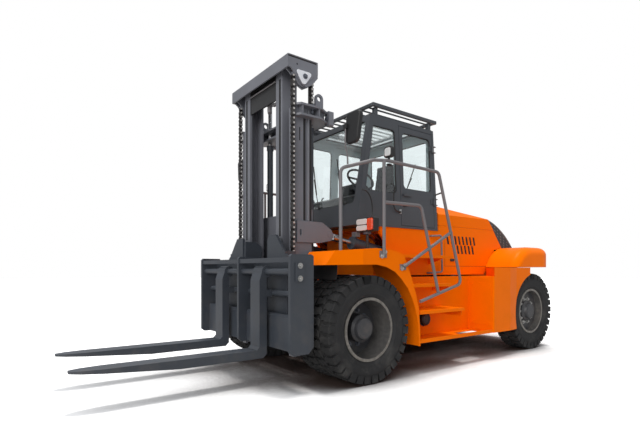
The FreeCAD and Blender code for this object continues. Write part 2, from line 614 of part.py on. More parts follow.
# ---------------------------------------------------------------- lift chains
chain_radius = SHEAVE_RADIUS + CHAIN_THICKNESS / 2
CHAIN_FRONT_X = SHEAVE_X + chain_radius
CHAIN_BACK_X = SHEAVE_X - chain_radius
CHAIN_ANCHOR_Z = 1390.0


def chain_run(x, low, high):
    """Leaf chain as a core strap with a pack of outer links at every second pitch."""
    core = box(x - 8, x + 8, CHAIN_Y - 17, CHAIN_Y + 17, low, high)
    packs = []
    count = int((high - low) / CHAIN_PITCH / 2)
    for n in range(count):
        z = high - (2 * n + 1.5) * CHAIN_PITCH
        packs.append(box(x - CHAIN_THICKNESS / 2, x + CHAIN_THICKNESS / 2,
                         CHAIN_Y - CHAIN_WIDTH / 2, CHAIN_Y + CHAIN_WIDTH / 2,
                         z, z + CHAIN_PITCH * 1.2))
    return core.fuse(packs)


export("chains_front", both_sides(chain_run(CHAIN_FRONT_X, CHAIN_ANCHOR_Z, SHEAVE_Z)))
export("chains_rear", both_sides(chain_run(CHAIN_BACK_X, HEAD_UPPER + HEAD_PLATE, SHEAVE_Z)))

# ---------------------------------------------------------------- carriage
plate_outline = [(CARRIAGE_BACK, CARRIAGE_BOTTOM + 60), (CARRIAGE_BACK, CARRIAGE_TOP - 20),
                 (CARRIAGE_BACK + 20, CARRIAGE_TOP), (CARRIAGE_FRONT - 20, CARRIAGE_TOP),
                 (CARRIAGE_FRONT, CARRIAGE_TOP - 20), (CARRIAGE_FRONT, CARRIAGE_BOTTOM + 30),
                 (CARRIAGE_FRONT - 40, CARRIAGE_BOTTOM), (CARRIAGE_BACK + 60, CARRIAGE_BOTTOM)]
ROLLER_RADIUS = 62.0
ROLLER_X = inner_back + inner_depth / 2
ROLLER_PLATE_Y = 265.0
carriage_parts = [side_plate(plate_outline, -18, 18)]
inside = CARRIAGE_HALF_WIDTH - CARRIAGE_PLATE
for sign in (1, -1):
    carriage_parts.append(side_plate(plate_outline, sign * inside, sign * CARRIAGE_HALF_WIDTH))
    upright = front_plate([(sign * 310, 480), (sign * 310, 1560), (sign * 325, 1572),
                           (sign * 465, 1572), (sign * 490, 1545), (sign * 655, 1360),
                           (sign * 700, 1330), (sign * 700, 480)], 655, 685)
    carriage_parts.append(upright)
    roller_plate = side_plate([(ROLLER_X - 40, 520), (ROLLER_X - 40, 1480), (ROLLER_X + 40, 1530),
                               (670, 1530), (670, 480), (ROLLER_X + 40, 480)],
                              sign * ROLLER_PLATE_Y, sign * (ROLLER_PLATE_Y + 32))
    carriage_parts.append(roller_plate)
    for z in (600, 1000, 1400):
        carriage_parts.append(box(655, 670, sign * (ROLLER_PLATE_Y + 30), sign * 312, z - 80, z + 80))
        carriage_parts.append(cross_pin(ROLLER_X, z, sign * (ROLLER_PLATE_Y + 30),
                                        sign * (INNER_MAST_HALF_WIDTH - 27), ROLLER_RADIUS))
    # chain anchor, reaching back from the upright to the chain
    carriage_parts.append(box(CHAIN_FRONT_X - CHAIN_THICKNESS / 2, 660, sign * (CHAIN_Y - 30), sign * (CHAIN_Y + 30),
                              CHAIN_ANCHOR_Z - 45, CHAIN_ANCHOR_Z))
    carriage_parts.append(box(655, 685, sign * (CHAIN_Y - 35), sign * (CHAIN_Y + 35), 1300, CHAIN_ANCHOR_Z))
    keeper = box(749, 852, sign * (CARRIAGE_HALF_WIDTH - 1), sign * (CARRIAGE_HALF_WIDTH + 12), 1077, 1257)
    carriage_parts.append(keeper)
carriage_parts.append(box(862, 894, -inside, inside, 1262, 1310))
carriage_parts.append(box(650, 690, -inside, inside, 1120, 1290))
lower_plate = side_plate([(760, 380), (760, 740), (784, 740), (800, 712), (800, 380)], -inside, inside)
carriage_parts.append(lower_plate)
carriage_parts.append(box(650, 770, -inside, inside, 640, 680))
carriage_parts.append(cross_pin(FORK_SHAFT_X, FORK_SHAFT_Z, -inside - 30, inside + 30, FORK_SHAFT_RADIUS))
carriage_parts.append(cross_pin(LOWER_SHAFT_X, LOWER_SHAFT_Z, -inside - 30, inside + 30, LOWER_SHAFT_RADIUS))
carriage = fuse(carriage_parts)
export("carriage", carriage)

# ---------------------------------------------------------------- forks
FORK_TIP = 20.0
TAPER_START = 1750.0
EYE_RADIUS = 62.0
heel = FORK_TOP - FORK_THICKNESS
back = FORK_FACE - FORK_THICKNESS
fork_outline = [(FORK_REACH, FORK_TOP), (FORK_REACH, FORK_TOP - FORK_TIP),
                (TAPER_START, heel), (back + 40, heel), (back, heel + 40),
                (back, FORK_SHAFT_Z), (back + 56, FORK_SHAFT_Z), (FORK_FACE, FORK_SHAFT_Z - 90),
                (FORK_FACE, FORK_TOP + 30), (FORK_FACE + 30, FORK_TOP)]
half = FORK_WIDTH / 2
fork = side_plate(fork_outline, -half, half)
fork_plan = [(700, -half), (FORK_REACH - 260, -half), (FORK_REACH - 90, -half + 26),
             (FORK_REACH - 20, -half + 56), (FORK_REACH, -30), (FORK_REACH, 30),
             (FORK_REACH - 20, half - 56), (FORK_REACH - 90, half - 26),
             (FORK_REACH - 260, half), (700, half)]
fork = fork.common(top_plate(fork_plan, 200, 1400))
fork = fork.fuse(cross_pin(FORK_SHAFT_X, FORK_SHAFT_Z, -half, half, EYE_RADIUS))
pad_front = LOWER_SHAFT_X + LOWER_SHAFT_RADIUS + GAP
fork = fork.fuse(box(pad_front, back + 5, -half, half, LOWER_SHAFT_Z - 35, LOWER_SHAFT_Z + 35))
fork = fork.cut(cross_pin(FORK_SHAFT_X, FORK_SHAFT_Z, -half - 1, half + 1, FORK_SHAFT_RADIUS + FIT))
for side, sign in SIDES.items():
    placed = fork.copy()
    placed.translate(V(0, sign * FORK_HALF_SPREAD, 0))
    export("fork_" + side, placed)

# ---------------------------------------------------------------- front fenders
FENDER_PLATE = 10.0
outer_curve = [(490, 1237), (396, 1382), (-67, 1416), (-260, 1408), (-400, 1385), (-490, 1350),
               (-563, 1204), (-608, 1110), (-678, 936), (-732, 760), (-755, 503), (-760, 323)]
arch_curve = [(-738, 323), (-732, 458), (-720, 585), (-701, 666), (-678, 746), (-631, 859), (-551, 987),
              (-450, 1089), (-352, 1166), (-225, 1218), (-81, 1244)]
fender_outline = outer_curve + arch_curve
shell = side_plate(outer_curve + [(490, 323)], FENDER_INNER, HALF_WIDTH)
hollow = side_plate([(500, 1160), (484, 1229), (390, 1372), (-64, 1406), (-257, 1398), (-395, 1375),
                     (-482, 1343), (-554, 1200), (-599, 1106), (-668, 932), (-722, 758), (-745, 503),
                     (-750, 313), (500, 313)],
                    FENDER_INNER - 1, HALF_WIDTH - FENDER_PLATE)
arch = side_plate([(500, 313), (500, 1237)] + arch_curve[::-1] + [(-738, 313)],
                  FENDER_INNER - 1, HALF_WIDTH + 1)
nose = top_plate([(113, HALF_WIDTH), (700, HALF_WIDTH - 214), (700, HALF_WIDTH + 40),
                  (113, HALF_WIDTH + 40)], 1000, 1600)
nose_inside = nose.copy()
nose_inside.translate(V(-FENDER_PLATE * 0.34, -FENDER_PLATE * 0.94, 0))
fender = shell.cut(hollow.cut(nose_inside)).cut(arch).cut(nose)
fender_form = shell.cut(nose)
export("front_fenders", both_sides(fender))

# ---------------------------------------------------------------- tanks and steps
STEP_PLATE = 12.0
STEP_FACE = 835.0            # upright face behind the treads
SILL_Y = 1215.0
TANK_FRONT = -761.0
REAR_BOX_FRONT = REAR_X + 1160
REAR_BOX_END = REAR_X + 530
ARCH_END = REAR_X + 150
LIP = 8.0                    # gap under the counterweight's lower edge
TREADS = ((-800, -1640, 1205, 700), (-740, -1480, 1130, 1010))

# wheel well: all that a rear wheel sweeps as it steers, with its clearance
tyre_outside = REAR_WHEEL_Y + TYRE_WIDTH / 2 - KINGPIN_HALF_TRACK
sweep = math.hypot(TYRE_DIAMETER / 2, tyre_outside) + STEER_CLEARANCE
well = Part.makeSphere(sweep, V(REAR_X, KINGPIN_HALF_TRACK, AXLE_Z))
well = well.common(box(REAR_X - 900, REAR_X + 900, -200, 1700, 0, TYRE_DIAMETER + STEER_CLEARANCE))

front_box = box(TANK_FRONT, REAR_BOX_FRONT, BOX_INNER, STEP_FACE, BOX_BOTTOM, BOX_TOP)
rear_plan = [(REAR_BOX_FRONT, BOX_INNER), (REAR_BOX_FRONT, BOX_HALF_WIDTH),
             (REAR_BOX_END + 230, BOX_HALF_WIDTH), (REAR_BOX_END, BOX_HALF_WIDTH - 37),
             (REAR_BOX_END, BOX_INNER)]
rear_box = top_plate(rear_plan, BOX_BOTTOM, BOX_TOP)
rear_box = rounded(rear_box, 14, lambda e: along(e, V(0, 0, 1)) and e.Vertexes[0].Y > BOX_HALF_WIDTH - 1
                   and e.Vertexes[0].X > REAR_BOX_END + 300)
rear_upper = (top_plate([(WING_FRONT, BODY_HALF_WIDTH + 6), (REAR_BOX_FRONT - 12, BOX_HALF_WIDTH),
                                    (REAR_BOX_END + 230, BOX_HALF_WIDTH), (REAR_BOX_END, BOX_HALF_WIDTH - 37),
                                    (ARCH_END, WING_HALF_WIDTH - 6), (ARCH_END, BODY_HALF_WIDTH + 6)],
                                   BOX_TOP - 1, WING_BOTTOM - LIP))
rear_arch = (top_plate([(REAR_BOX_END + 2, BODY_HALF_WIDTH + 6), (REAR_BOX_END + 2, BOX_HALF_WIDTH - 37),
                                    (ARCH_END, WING_HALF_WIDTH - 6), (ARCH_END, BODY_HALF_WIDTH + 6)],
                                   AXLE_Z, BOX_TOP))
sill = box(TANK_FRONT - 20, REAR_BOX_FRONT, STEP_FACE - 5, SILL_Y, BOX_BOTTOM, BOX_BOTTOM + STEP_PLATE)
sill = sill.fuse(box(TANK_FRONT - 20, REAR_BOX_FRONT, SILL_Y - STEP_PLATE, SILL_Y, BOX_BOTTOM, BOX_BOTTOM + 45))
sill = sill.cut(box(-1740, -2190, 935, 1120, BOX_BOTTOM - 10, BOX_BOTTOM + 30))
rear_arch = rear_arch.cut(well)
rear_upper = rear_upper.cut(well)
tank_parts = [front_box, rear_box, rear_upper, rear_arch, sill]
for x0, x1, y, z in TREADS:
    tread = box(x0, x1, STEP_FACE - 5, y, z, z + STEP_PLATE)
    tread = tread.fuse(box(x0, x1, y - STEP_PLATE, y, z - 26, z + STEP_PLATE))
    hand_hole = box(x0 - 430, x0 - 610, y - 190, y - 90, z - 5, z + 30)
    tank_parts.append(tread.cut(hand_hole))
    tank_parts.append(side_plate([(x1, z), (x1, z - 90), (x1 + 14, z - 90), (x1 + 14, z)],
                                 STEP_FACE - 5, y - 40))
# filler cap low on the upright face
cap_x, cap_z = -1290.0, 560.0
tank_parts.append(cross_pin(cap_x, cap_z, STEP_FACE - 5, STEP_FACE + 16, 74))
tank_parts.append(cross_pin(cap_x, cap_z, STEP_FACE - 5, STEP_FACE + 40, 56))
tank = fuse(tank_parts)
# the boxes stop short of the front fender's rear wall
tank = tank.cut(side_plate(outer_curve + [(-700, 200), (600, 200), (600, 1237)],
                           FENDER_INNER - 10, HALF_WIDTH + 10))
tank = tank.cut(well)
export("side_tanks", both_sides(tank))

# ---------------------------------------------------------------- body sides and engine
BODY_FRONT = -749.0
DECK_FRONT = -560.0
GRILLE_GAP = 8.0
DECK_TOP = CAB_BOTTOM
grille_foot_front = (HINGE_X + 330, HINGE_Z + 2)
HOOD_REAR_LEAN = 147.0
grille_head_front = (HOOD_REAR - HOOD_REAR_LEAN - 3, HOOD_PARTING)
side_outline = [(BODY_FRONT, SIDE_BOTTOM), (BODY_FRONT, DECK_TOP - 194), (BODY_FRONT + 95, DECK_TOP - 80),
                (BODY_FRONT + 95, DECK_TOP), (HOOD_FRONT, DECK_TOP), (HOOD_FRONT, HOOD_PARTING),
                (grille_head_front[0] + GRILLE_GAP, HOOD_PARTING),
                (grille_foot_front[0] + GRILLE_GAP, grille_foot_front[1]),
                (WING_FRONT - 240, WING_TOP - 30), (WING_FRONT + 40, SIDE_BOTTOM)]
LOUVRE_TOP = HOOD_PARTING - 190
LOUVRE_PITCH = 88.0
louvres = []
for row, x_first, count in ((0, HOOD_FRONT - 200, 8), (1, HOOD_FRONT - 430, 5)):
    z = LOUVRE_TOP - 130 * row
    for n in range(count):
        x = x_first - LOUVRE_PITCH * n
        slot = side_plate([(x - 32, z - 58), (x, z - 58), (x + 30, z + 58), (x - 2, z + 58)],
                          BODY_HALF_WIDTH - 100, BODY_HALF_WIDTH + 100)
        louvres.append(slot)
side_panel = side_plate(side_outline, BODY_HALF_WIDTH - PANEL, BODY_HALF_WIDTH)
side_panel = side_panel.cut(Part.makeCompound(louvres))
panel_inside = BODY_HALF_WIDTH - PANEL
bulkhead = box(BODY_FRONT, BODY_FRONT - PANEL, -panel_inside, panel_inside, SIDE_BOTTOM, DECK_TOP - 1)
for sign in (1, -1):
    bulkhead = bulkhead.cut(box(BODY_FRONT + 60, BODY_FRONT - 140, sign * (TILT_Y - 90),
                                sign * (TILT_Y + 90), SIDE_BOTTOM - 10, TILT_BASE_Z + 245))
deck = box(DECK_FRONT, HOOD_FRONT, -panel_inside, panel_inside, DECK_TOP - PANEL, DECK_TOP)
firewall = box(HOOD_FRONT, HOOD_FRONT - PANEL, -panel_inside, panel_inside, SIDE_BOTTOM, DECK_TOP)
# top tread of the steps, on the body side
TREAD_FRONT = -470.0
TREAD_END = -1560.0
TREAD_EDGE = 1040.0
TREAD_Z = 1360.0
top_tread = box(TREAD_FRONT, TREAD_END, BODY_HALF_WIDTH - 1, TREAD_EDGE, TREAD_Z, TREAD_Z + STEP_PLATE)
top_tread = top_tread.fuse(box(TREAD_FRONT, TREAD_END, TREAD_EDGE - STEP_PLATE, TREAD_EDGE,
                               TREAD_Z - 26, TREAD_Z + STEP_PLATE))
top_bracket = front_plate([(BODY_HALF_WIDTH - 1, TREAD_Z), (BODY_HALF_WIDTH - 1, TREAD_Z - 100),
                           (TREAD_EDGE - 20, TREAD_Z)], TREAD_END + 14, TREAD_END)
top_tread = top_tread.fuse(top_bracket)
top_tread = top_tread.cut(side_plate(outer_curve + [(-700, 200), (600, 200), (600, 1237)],
                                     FENDER_INNER - 10, HALF_WIDTH + 10))
body = fuse([side_panel, mirrored(side_panel), bulkhead, deck, firewall, top_tread, mirrored(top_tread)])
export("body_sides", body)
export("engine", box(HOOD_FRONT - 86, REAR_X + 660, -320, 320, FRAME_TOP + 16, HOOD_PARTING - 77))

# ---------------------------------------------------------------- hood
LID_GAP = 3.0
BEVEL = 155.0
hood_block = side_plate([(HOOD_FRONT, HOOD_PARTING + LID_GAP), (HOOD_FRONT, HOOD_TOP_FRONT),
                         (HOOD_REAR, HOOD_TOP_REAR), (HOOD_REAR - HOOD_REAR_LEAN, HOOD_PARTING + LID_GAP)],
                        -BODY_HALF_WIDTH, BODY_HALF_WIDTH)
bevel = front_plate([(BODY_HALF_WIDTH - BEVEL, HOOD_TOP_FRONT + 240), (BODY_HALF_WIDTH - BEVEL, HOOD_TOP_FRONT + 8),
                     (BODY_HALF_WIDTH + 20, HOOD_TOP_FRONT - 160), (BODY_HALF_WIDTH + 20, HOOD_TOP_FRONT + 240)],
                    HOOD_REAR - 900, HOOD_FRONT + 700)
hood_block = hood_block.cut(bevel).cut(mirrored(bevel))
hood_hollow = side_plate([(HOOD_FRONT - PANEL, HOOD_PARTING - 10), (HOOD_FRONT - PANEL, HOOD_TOP_FRONT - PANEL),
                          (HOOD_REAR + 10, HOOD_TOP_REAR - PANEL), (HOOD_REAR - HOOD_REAR_LEAN + 30, HOOD_PARTING - 10)],
                         -panel_inside, panel_inside)
bevel_in = bevel.copy()
bevel_in.translate(V(0, -PANEL, -PANEL))
hood_hollow = hood_hollow.cut(bevel_in).cut(mirrored(bevel_in))
hood = hood_block.cut(hood_hollow)
# low latch knob on the lid's front edge
for sign in (1, -1):
    hood = hood.fuse(Part.makeCylinder(16, 40, V(HOOD_FRONT - 60, sign * 480, HOOD_TOP_FRONT - 20)))
export("hood", hood)

# ---------------------------------------------------------------- rear grille
GRILLE_HALF = 690.0
GRILLE_BAR = 46.0


def arc_edge(start, middle, end, y):
    return Part.Arc(V(start[0], y, start[1]), V(middle[0], y, middle[1]), V(end[0], y, end[1])).toShape()


def line_edge(start, end, y):
    return Part.LineSegment(V(start[0], y, start[1]), V(end[0], y, end[1])).toShape()


def grille_form(inset, half):
    """The curved rear hood: its outside, or the same form set in by a wall."""
    head = (HOOD_REAR - 5, HOOD_TOP_REAR - 4 - inset)
    crown = (HOOD_REAR - 350 + inset * 0.6, HOOD_PARTING + 23 - inset * 0.8)
    foot = (HINGE_X + inset, HINGE_Z + 2 - (5 if inset else 0))
    front_foot = (grille_foot_front[0] + (40 if inset else 0), foot[1])
    front_head = (grille_head_front[0] + (60 if inset else 0), grille_head_front[1])
    if inset:
        head = (head[0] + 40, head[1])
    edges = [arc_edge(head, crown, foot, -half), line_edge(foot, front_foot, -half),
             line_edge(front_foot, front_head, -half), line_edge(front_head, head, -half)]
    return Part.Face(Part.Wire(edges)).extrude(V(0, 2 * half, 0))


grille = grille_form(0, GRILLE_HALF).cut(grille_form(PANEL, GRILLE_HALF - PANEL))
# air slots across the curved face, between a middle bar and two side bars
slots = []
for n in range(7):
    t = math.radians(14 + 10.5 * n)
    x = HINGE_X + 20 + 560 * (1 - math.cos(t))
    z = HINGE_Z + 20 + 400 * math.sin(t)
    cutter = box(-90, 90, 0, GRILLE_HALF - 90, -13, 13)
    cutter.rotate(V(0, 0, 0), V(0, 1, 0), math.degrees(t) * 0.7)
    cutter.translate(V(x, GRILLE_BAR / 2, z))
    slots += [cutter, mirrored(cutter)]
grille = grille.cut(Part.makeCompound(slots))

# hood hinge: barrels on the grille's foot, ears and pin on the counterweight
HOOD_PIN = 8.0
HOOD_BARREL = 14.0
HOOD_HINGE_Y = 430.0
HOOD_HINGE_HALF = 45.0
ledge_z = HINGE_Z - HOOD_BARREL - 6
hinge_parts = []
for sign in (1, -1):
    low = sign * HOOD_HINGE_Y - HOOD_HINGE_HALF
    high = sign * HOOD_HINGE_Y + HOOD_HINGE_HALF
    grille = grille.fuse(cross_pin(HINGE_X, HINGE_Z, low, high, HOOD_BARREL))
    grille = grille.cut(cross_pin(HINGE_X, HINGE_Z, low - 1, high + 1, HOOD_PIN + FIT))
    # the grille's lower edge is cut away beside the ears
    for y0, y1 in ((low - 20 - GAP, low - GAP), (high + GAP, high + 20 + GAP)):
        grille = grille.cut(box(HINGE_X - 30, HINGE_X + 30, y0 - 1, y1 + GAP, HINGE_Z - 30, HINGE_Z + 24))
    for y0 in (low - 18 - GAP, high + GAP):
        ear = box(HINGE_X - HOOD_BARREL, HINGE_X + HOOD_BARREL, y0, y0 + 18, ledge_z, HINGE_Z)
        hinge_parts += [ear, cross_pin(HINGE_X, HINGE_Z, y0, y0 + 18, HOOD_BARREL)]
    hinge_parts.append(cross_pin(HINGE_X, HINGE_Z, low - 17, high + 17, HOOD_PIN))
export("rear_grille", grille)

# ---------------------------------------------------------------- counterweight
WING_PROFILE_RISE = 200.0
SHOULDER = 120.0
wing_inside = BODY_HALF_WIDTH + 6
hood_end = HINGE_X - 55
edges = [line_edge((TAIL_X, WING_BOTTOM), (WING_FRONT, WING_BOTTOM), -WING_HALF_WIDTH),
         arc_edge((WING_FRONT, WING_BOTTOM), (WING_FRONT - 163, WING_TOP - 102), (WING_FRONT - 458, WING_TOP),
                  -WING_HALF_WIDTH),
         line_edge((WING_FRONT - 458, WING_TOP), (TAIL_X, WING_TOP), -WING_HALF_WIDTH),
         line_edge((TAIL_X, WING_TOP), (TAIL_X, WING_BOTTOM), -WING_HALF_WIDTH)]
upper = Part.Face(Part.Wire(edges)).extrude(V(0, 2 * WING_HALF_WIDTH, 0))
upper = rounded(upper, WING_CORNER, lambda e: along(e, V(0, 0, 1)) and e.Vertexes[0].X < TAIL_X + 1)


def wing_shoulder(edge):
    """Edges round the wing's top: both sides, the rear corners and the tail."""
    box_ = edge.BoundBox
    outer = abs(box_.YMin) > BODY_HALF_WIDTH - 1 or box_.XMax < TAIL_X + WING_CORNER + 1
    return box_.ZMin > WING_TOP - 1 and outer and box_.YLength + box_.XLength > 1 and not (
        along(edge, V(0, 1, 0)) and box_.XMin > TAIL_X + 1)


upper = upper.makeFillet(SHOULDER, [e for e in upper.Edges if wing_shoulder(e)])
# room for the engine bay, its side panels and the grille's foot
upper = upper.cut(box(hood_end, WING_FRONT + 200, -wing_inside, wing_inside, WING_BOTTOM - 10, WING_TOP + 10))
foot_block = box(hood_end - 5, HINGE_X + 120, -wing_inside, wing_inside, WING_BOTTOM, ledge_z)


def steered(forward, outward):
    """Where a point of the left rear wheel lies at full lock, seen from above."""
    turn = math.radians(STEER_LOCK)
    return (REAR_X + forward * math.cos(turn) - outward * math.sin(turn),
            KINGPIN_HALF_TRACK + forward * math.sin(turn) + outward * math.cos(turn))


wheel_rear = -(TYRE_DIAMETER / 2 + STEER_CLEARANCE)
inner_corner = steered(wheel_rear, tyre_outside - TYRE_WIDTH - STEER_CLEARANCE)
outer_corner = steered(wheel_rear, tyre_outside + STEER_CLEARANCE)
block_front = REAR_X - 135
half_plan = [(block_front, inner_corner[1]), inner_corner, outer_corner, (TAIL_X, outer_corner[1])]
block_plan = half_plan + [(x, -y) for x, y in reversed(half_plan)]
lower = top_plate(block_plan, 420, WING_BOTTOM)
# tow pin pocket in the tail
TOW_Z = 640.0
lower = lower.cut(box(TAIL_X - 10, TAIL_X + 130, -70, 70, TOW_Z - 45, TOW_Z + 45))
lower = lower.cut(Part.makeCylinder(TOW_HOLE, 400, V(TAIL_X + 60, 0, TOW_Z - 200)))
seat_block = box(REAR_X + 350, hood_end, -FRAME_Y, FRAME_Y, REAR_FRAME_TOP, ledge_z)
counterweight = fuse([upper, foot_block, lower, seat_block] + hinge_parts)
export("counterweight", counterweight)

# ---------------------------------------------------------------- cab
CAB_FLOOR = 30.0
CAB_ROOF = 40.0


def between(z, low, high):
    share = (z - CAB_BOTTOM) / (CAB_TOP - CAB_BOTTOM)
    return low + (high - low) * share


def cab_front(z):
    return between(z, CAB_FRONT_LOW, CAB_FRONT_TOP)


def cab_rear(z):
    return between(z, CAB_REAR_LOW, CAB_REAR_TOP)


def cab_half_width(z):
    return between(z, CAB_HALF_WIDTH_LOW, CAB_HALF_WIDTH_TOP)


def cab_block(inset, low=CAB_BOTTOM, high=CAB_TOP):
    """The cab's outer form, or the same form set in by a distance from its four walls."""
    wires = []
    for z in (low, high):
        x0, x1, y = cab_front(z) - inset, cab_rear(z) + inset, cab_half_width(z) - inset
        corners = [V(x0, y, z), V(x1, y, z), V(x1, -y, z), V(x0, -y, z)]
        wires.append(Part.makePolygon(corners + corners[:1]))
    return Part.makeLoft(wires, True, True)


def window_cutter(x0, x1, y0, y1, z0, z1, radius, axis):
    cutter = box(x0, x1, y0, y1, z0, z1)
    return rounded(cutter, radius, lambda e: along(e, axis))


def skin(outside, inside):
    return cab_block(outside).cut(cab_block(inside))


PILLAR = 70.0
lean = side_plate([(cab_front(BELT_Z - 60) - PILLAR, BELT_Z - 60), (cab_front(3000) - PILLAR, 3000),
                   (DOOR_FRONT + PILLAR, 3000), (DOOR_FRONT + PILLAR, BELT_Z - 60)], 400, 900)
quarter_box = window_cutter(-340, DOOR_FRONT + PILLAR, 400, 900, BELT_Z, WINDOW_TOP, 50, V(0, 1, 0))
side_quarter = quarter_box.common(lean)
front_window = window_cutter(-200, -620, -590, 590, 1990, WINDOW_TOP + 60, 50, V(1, 0, 0))
rear_window = window_cutter(-1600, -1800, -560, 560, BELT_Z + 40, WINDOW_TOP, 50, V(1, 0, 0))
door_low = CAB_BOTTOM + 35
door_high = CAB_TOP - 60
doorway = box(DOOR_FRONT + DOOR_GAP, DOOR_REAR - DOOR_GAP, 500, 900, door_low - DOOR_GAP, door_high + DOOR_GAP)
shell = cab_block(0).cut(cab_block(CAB_WALL, CAB_BOTTOM + CAB_FLOOR, CAB_TOP - CAB_ROOF))
roof_window = window_cutter(-690, -1560, -480, 480, CAB_TOP - CAB_ROOF - 10, CAB_TOP + 20, 60, V(0, 0, 1))
cuts = [side_quarter, mirrored(side_quarter), doorway, mirrored(doorway), front_window, rear_window, roof_window]
shell = shell.cut(Part.makeCompound(cuts))

# door hinges: a leaning pin held by two ears on the cab, a barrel on the door
HINGE_OUT = 14.0
HINGE_PIN = 7.0
HINGE_BARREL = 13.0
HINGE_LENGTH = 60.0
lean_share = (CAB_HALF_WIDTH_LOW - CAB_HALF_WIDTH_TOP) / (CAB_TOP - CAB_BOTTOM)
hinge_axis = V(0, -lean_share, 1).normalize()
barrels = []
bores = []
for z in (BELT_Z - 45, WINDOW_TOP - 130):
    face_y = cab_half_width(z)
    middle = V(DOOR_REAR, face_y + HINGE_OUT, z)
    low = middle - hinge_axis * (HINGE_LENGTH / 2 + 16)
    pin = Part.makeCylinder(HINGE_PIN, HINGE_LENGTH + 32, low, hinge_axis)
    ears = [pin]
    for side_z in (-1, 1):
        base = middle + hinge_axis * side_z * (HINGE_LENGTH / 2 + 9)
        ears.append(Part.makeCylinder(HINGE_BARREL, 14, base - hinge_axis * 7, hinge_axis))
        ears.append(box(base.x - 60, base.x, face_y - 4, face_y + HINGE_OUT + 8, base.z - 6, base.z + 6))
    hinge = fuse(ears)
    shell = shell.fuse([hinge, mirrored(hinge)])
    barrel = Part.makeCylinder(HINGE_BARREL, HINGE_LENGTH, middle - hinge_axis * HINGE_LENGTH / 2, hinge_axis)
    leaf = box(DOOR_REAR, DOOR_REAR + 62, face_y - 6, face_y + 7, z - 28, z + 28)
    barrels += [barrel, leaf]
    bores.append(Part.makeCylinder(HINGE_PIN + FIT, 200, middle - hinge_axis * 100, hinge_axis))
export("cab_shell", shell)

pane = skin(18, 18 + GLASS)
panes = [pane.common(c) for c in (side_quarter, mirrored(side_quarter), front_window, rear_window)]
roof_pane = roof_window.common(box(-2000, 0, -900, 900, CAB_TOP - 24, CAB_TOP - 24 + GLASS))
panes.append(roof_pane)
export("cab_glass", Part.makeCompound(panes))

door = skin(0, DOOR_THICKNESS).common(box(DOOR_FRONT, DOOR_REAR, 500, 900, door_low, door_high))
door_window = window_cutter(DOOR_FRONT - 62, DOOR_REAR + 34, 400, 900, DOOR_BELT_Z, WINDOW_TOP, 60, V(0, 1, 0))
door_leaf = door.cut(door_window)
handle_z = DOOR_BELT_Z - 85
handle = box(DOOR_FRONT - 35, DOOR_FRONT - 175, cab_half_width(handle_z) - 12,
             cab_half_width(handle_z) + 28, handle_z - 14, handle_z + 14)
door_leaf = door_leaf.fuse([handle] + barrels).cut(Part.makeCompound(bores))
door_glass = pane.common(door_window)
for side, sign in SIDES.items():
    export("door_" + side, for_side(door_leaf, sign))
    export("door_glass_" + side, for_side(door_glass, sign))

# ---------------------------------------------------------------- overhead guard
GUARD_Z = 3205.0
GUARD_FRONT = -553.0
GUARD_REAR = -1746.0
GUARD_Y = 665.0
SLATS = 12
guard = []
for sign in (1, -1):
    guard.append(box(GUARD_FRONT, GUARD_REAR, sign * (GUARD_Y - 20), sign * (GUARD_Y + 20), GUARD_Z - 25, GUARD_Z + 22))
    for x in (GUARD_FRONT - 90, GUARD_REAR + 110):
        guard.append(box(x - 25, x + 25, sign * (GUARD_Y - 70), sign * (GUARD_Y - 15), CAB_TOP, GUARD_Z - 10))
for x in (GUARD_FRONT, GUARD_REAR + 40):
    guard.append(box(x, x - 40, -GUARD_Y, GUARD_Y, GUARD_Z - 25, GUARD_Z + 22))
pitch = (GUARD_FRONT - GUARD_REAR - 40) / (SLATS + 1)
for n in range(SLATS):
    x = GUARD_FRONT - 20 - pitch * (n + 1)
    guard.append(box(x - 9, x + 9, -GUARD_Y, GUARD_Y, GUARD_Z - 18, GUARD_Z + 18))
export("overhead_guard", fuse(guard))

# ---------------------------------------------------------------- cab inside
WHEEL_X = -950.0
WHEEL_Z = 2430.0
WHEEL_TILT = 35.0
WHEEL_RADIUS = 190.0
BOSS_RADIUS = 42.0
COLUMN_LENGTH = 420.0
COLUMN_RADIUS = 32.0
COLUMN_SHORT = 20.0          # column end to the wheel's centre
column_axis = V(-math.sin(math.radians(WHEEL_TILT)), 0, math.cos(math.radians(WHEEL_TILT)))
column_top = V(WHEEL_X, 0, WHEEL_Z)
column_foot = column_top - column_axis * COLUMN_LENGTH
console = side_plate([(-400, 1750), (-470, 2110), (-640, 2170), (-700, 2120), (-640, 1990), (-660, 1750)],
                     -600, 600)
console = console.cut(box(-560, -900, -260, 260, 1700, 2010))
column = Part.makeCylinder(COLUMN_RADIUS, COLUMN_LENGTH - COLUMN_SHORT, column_foot, column_axis)
# leaning column box with the instrument pod on top of it
column_box = side_plate([(-690, CAB_BOTTOM), (-660, 2150), (-700, 2310), (-905, 2240), (-880, 2190),
                         (-800, 2150), (-830, CAB_BOTTOM)], -85, 85)
pod = side_plate([(-690, 2250), (-720, 2340), (-905, 2262), (-880, 2190)], -150, 150)
pod = rounded(pod, 14, lambda e: True)
dash = fuse([console, column, column_box, pod])
dash = dash.common(cab_block(CAB_WALL, CAB_BOTTOM + CAB_FLOOR, CAB_TOP))

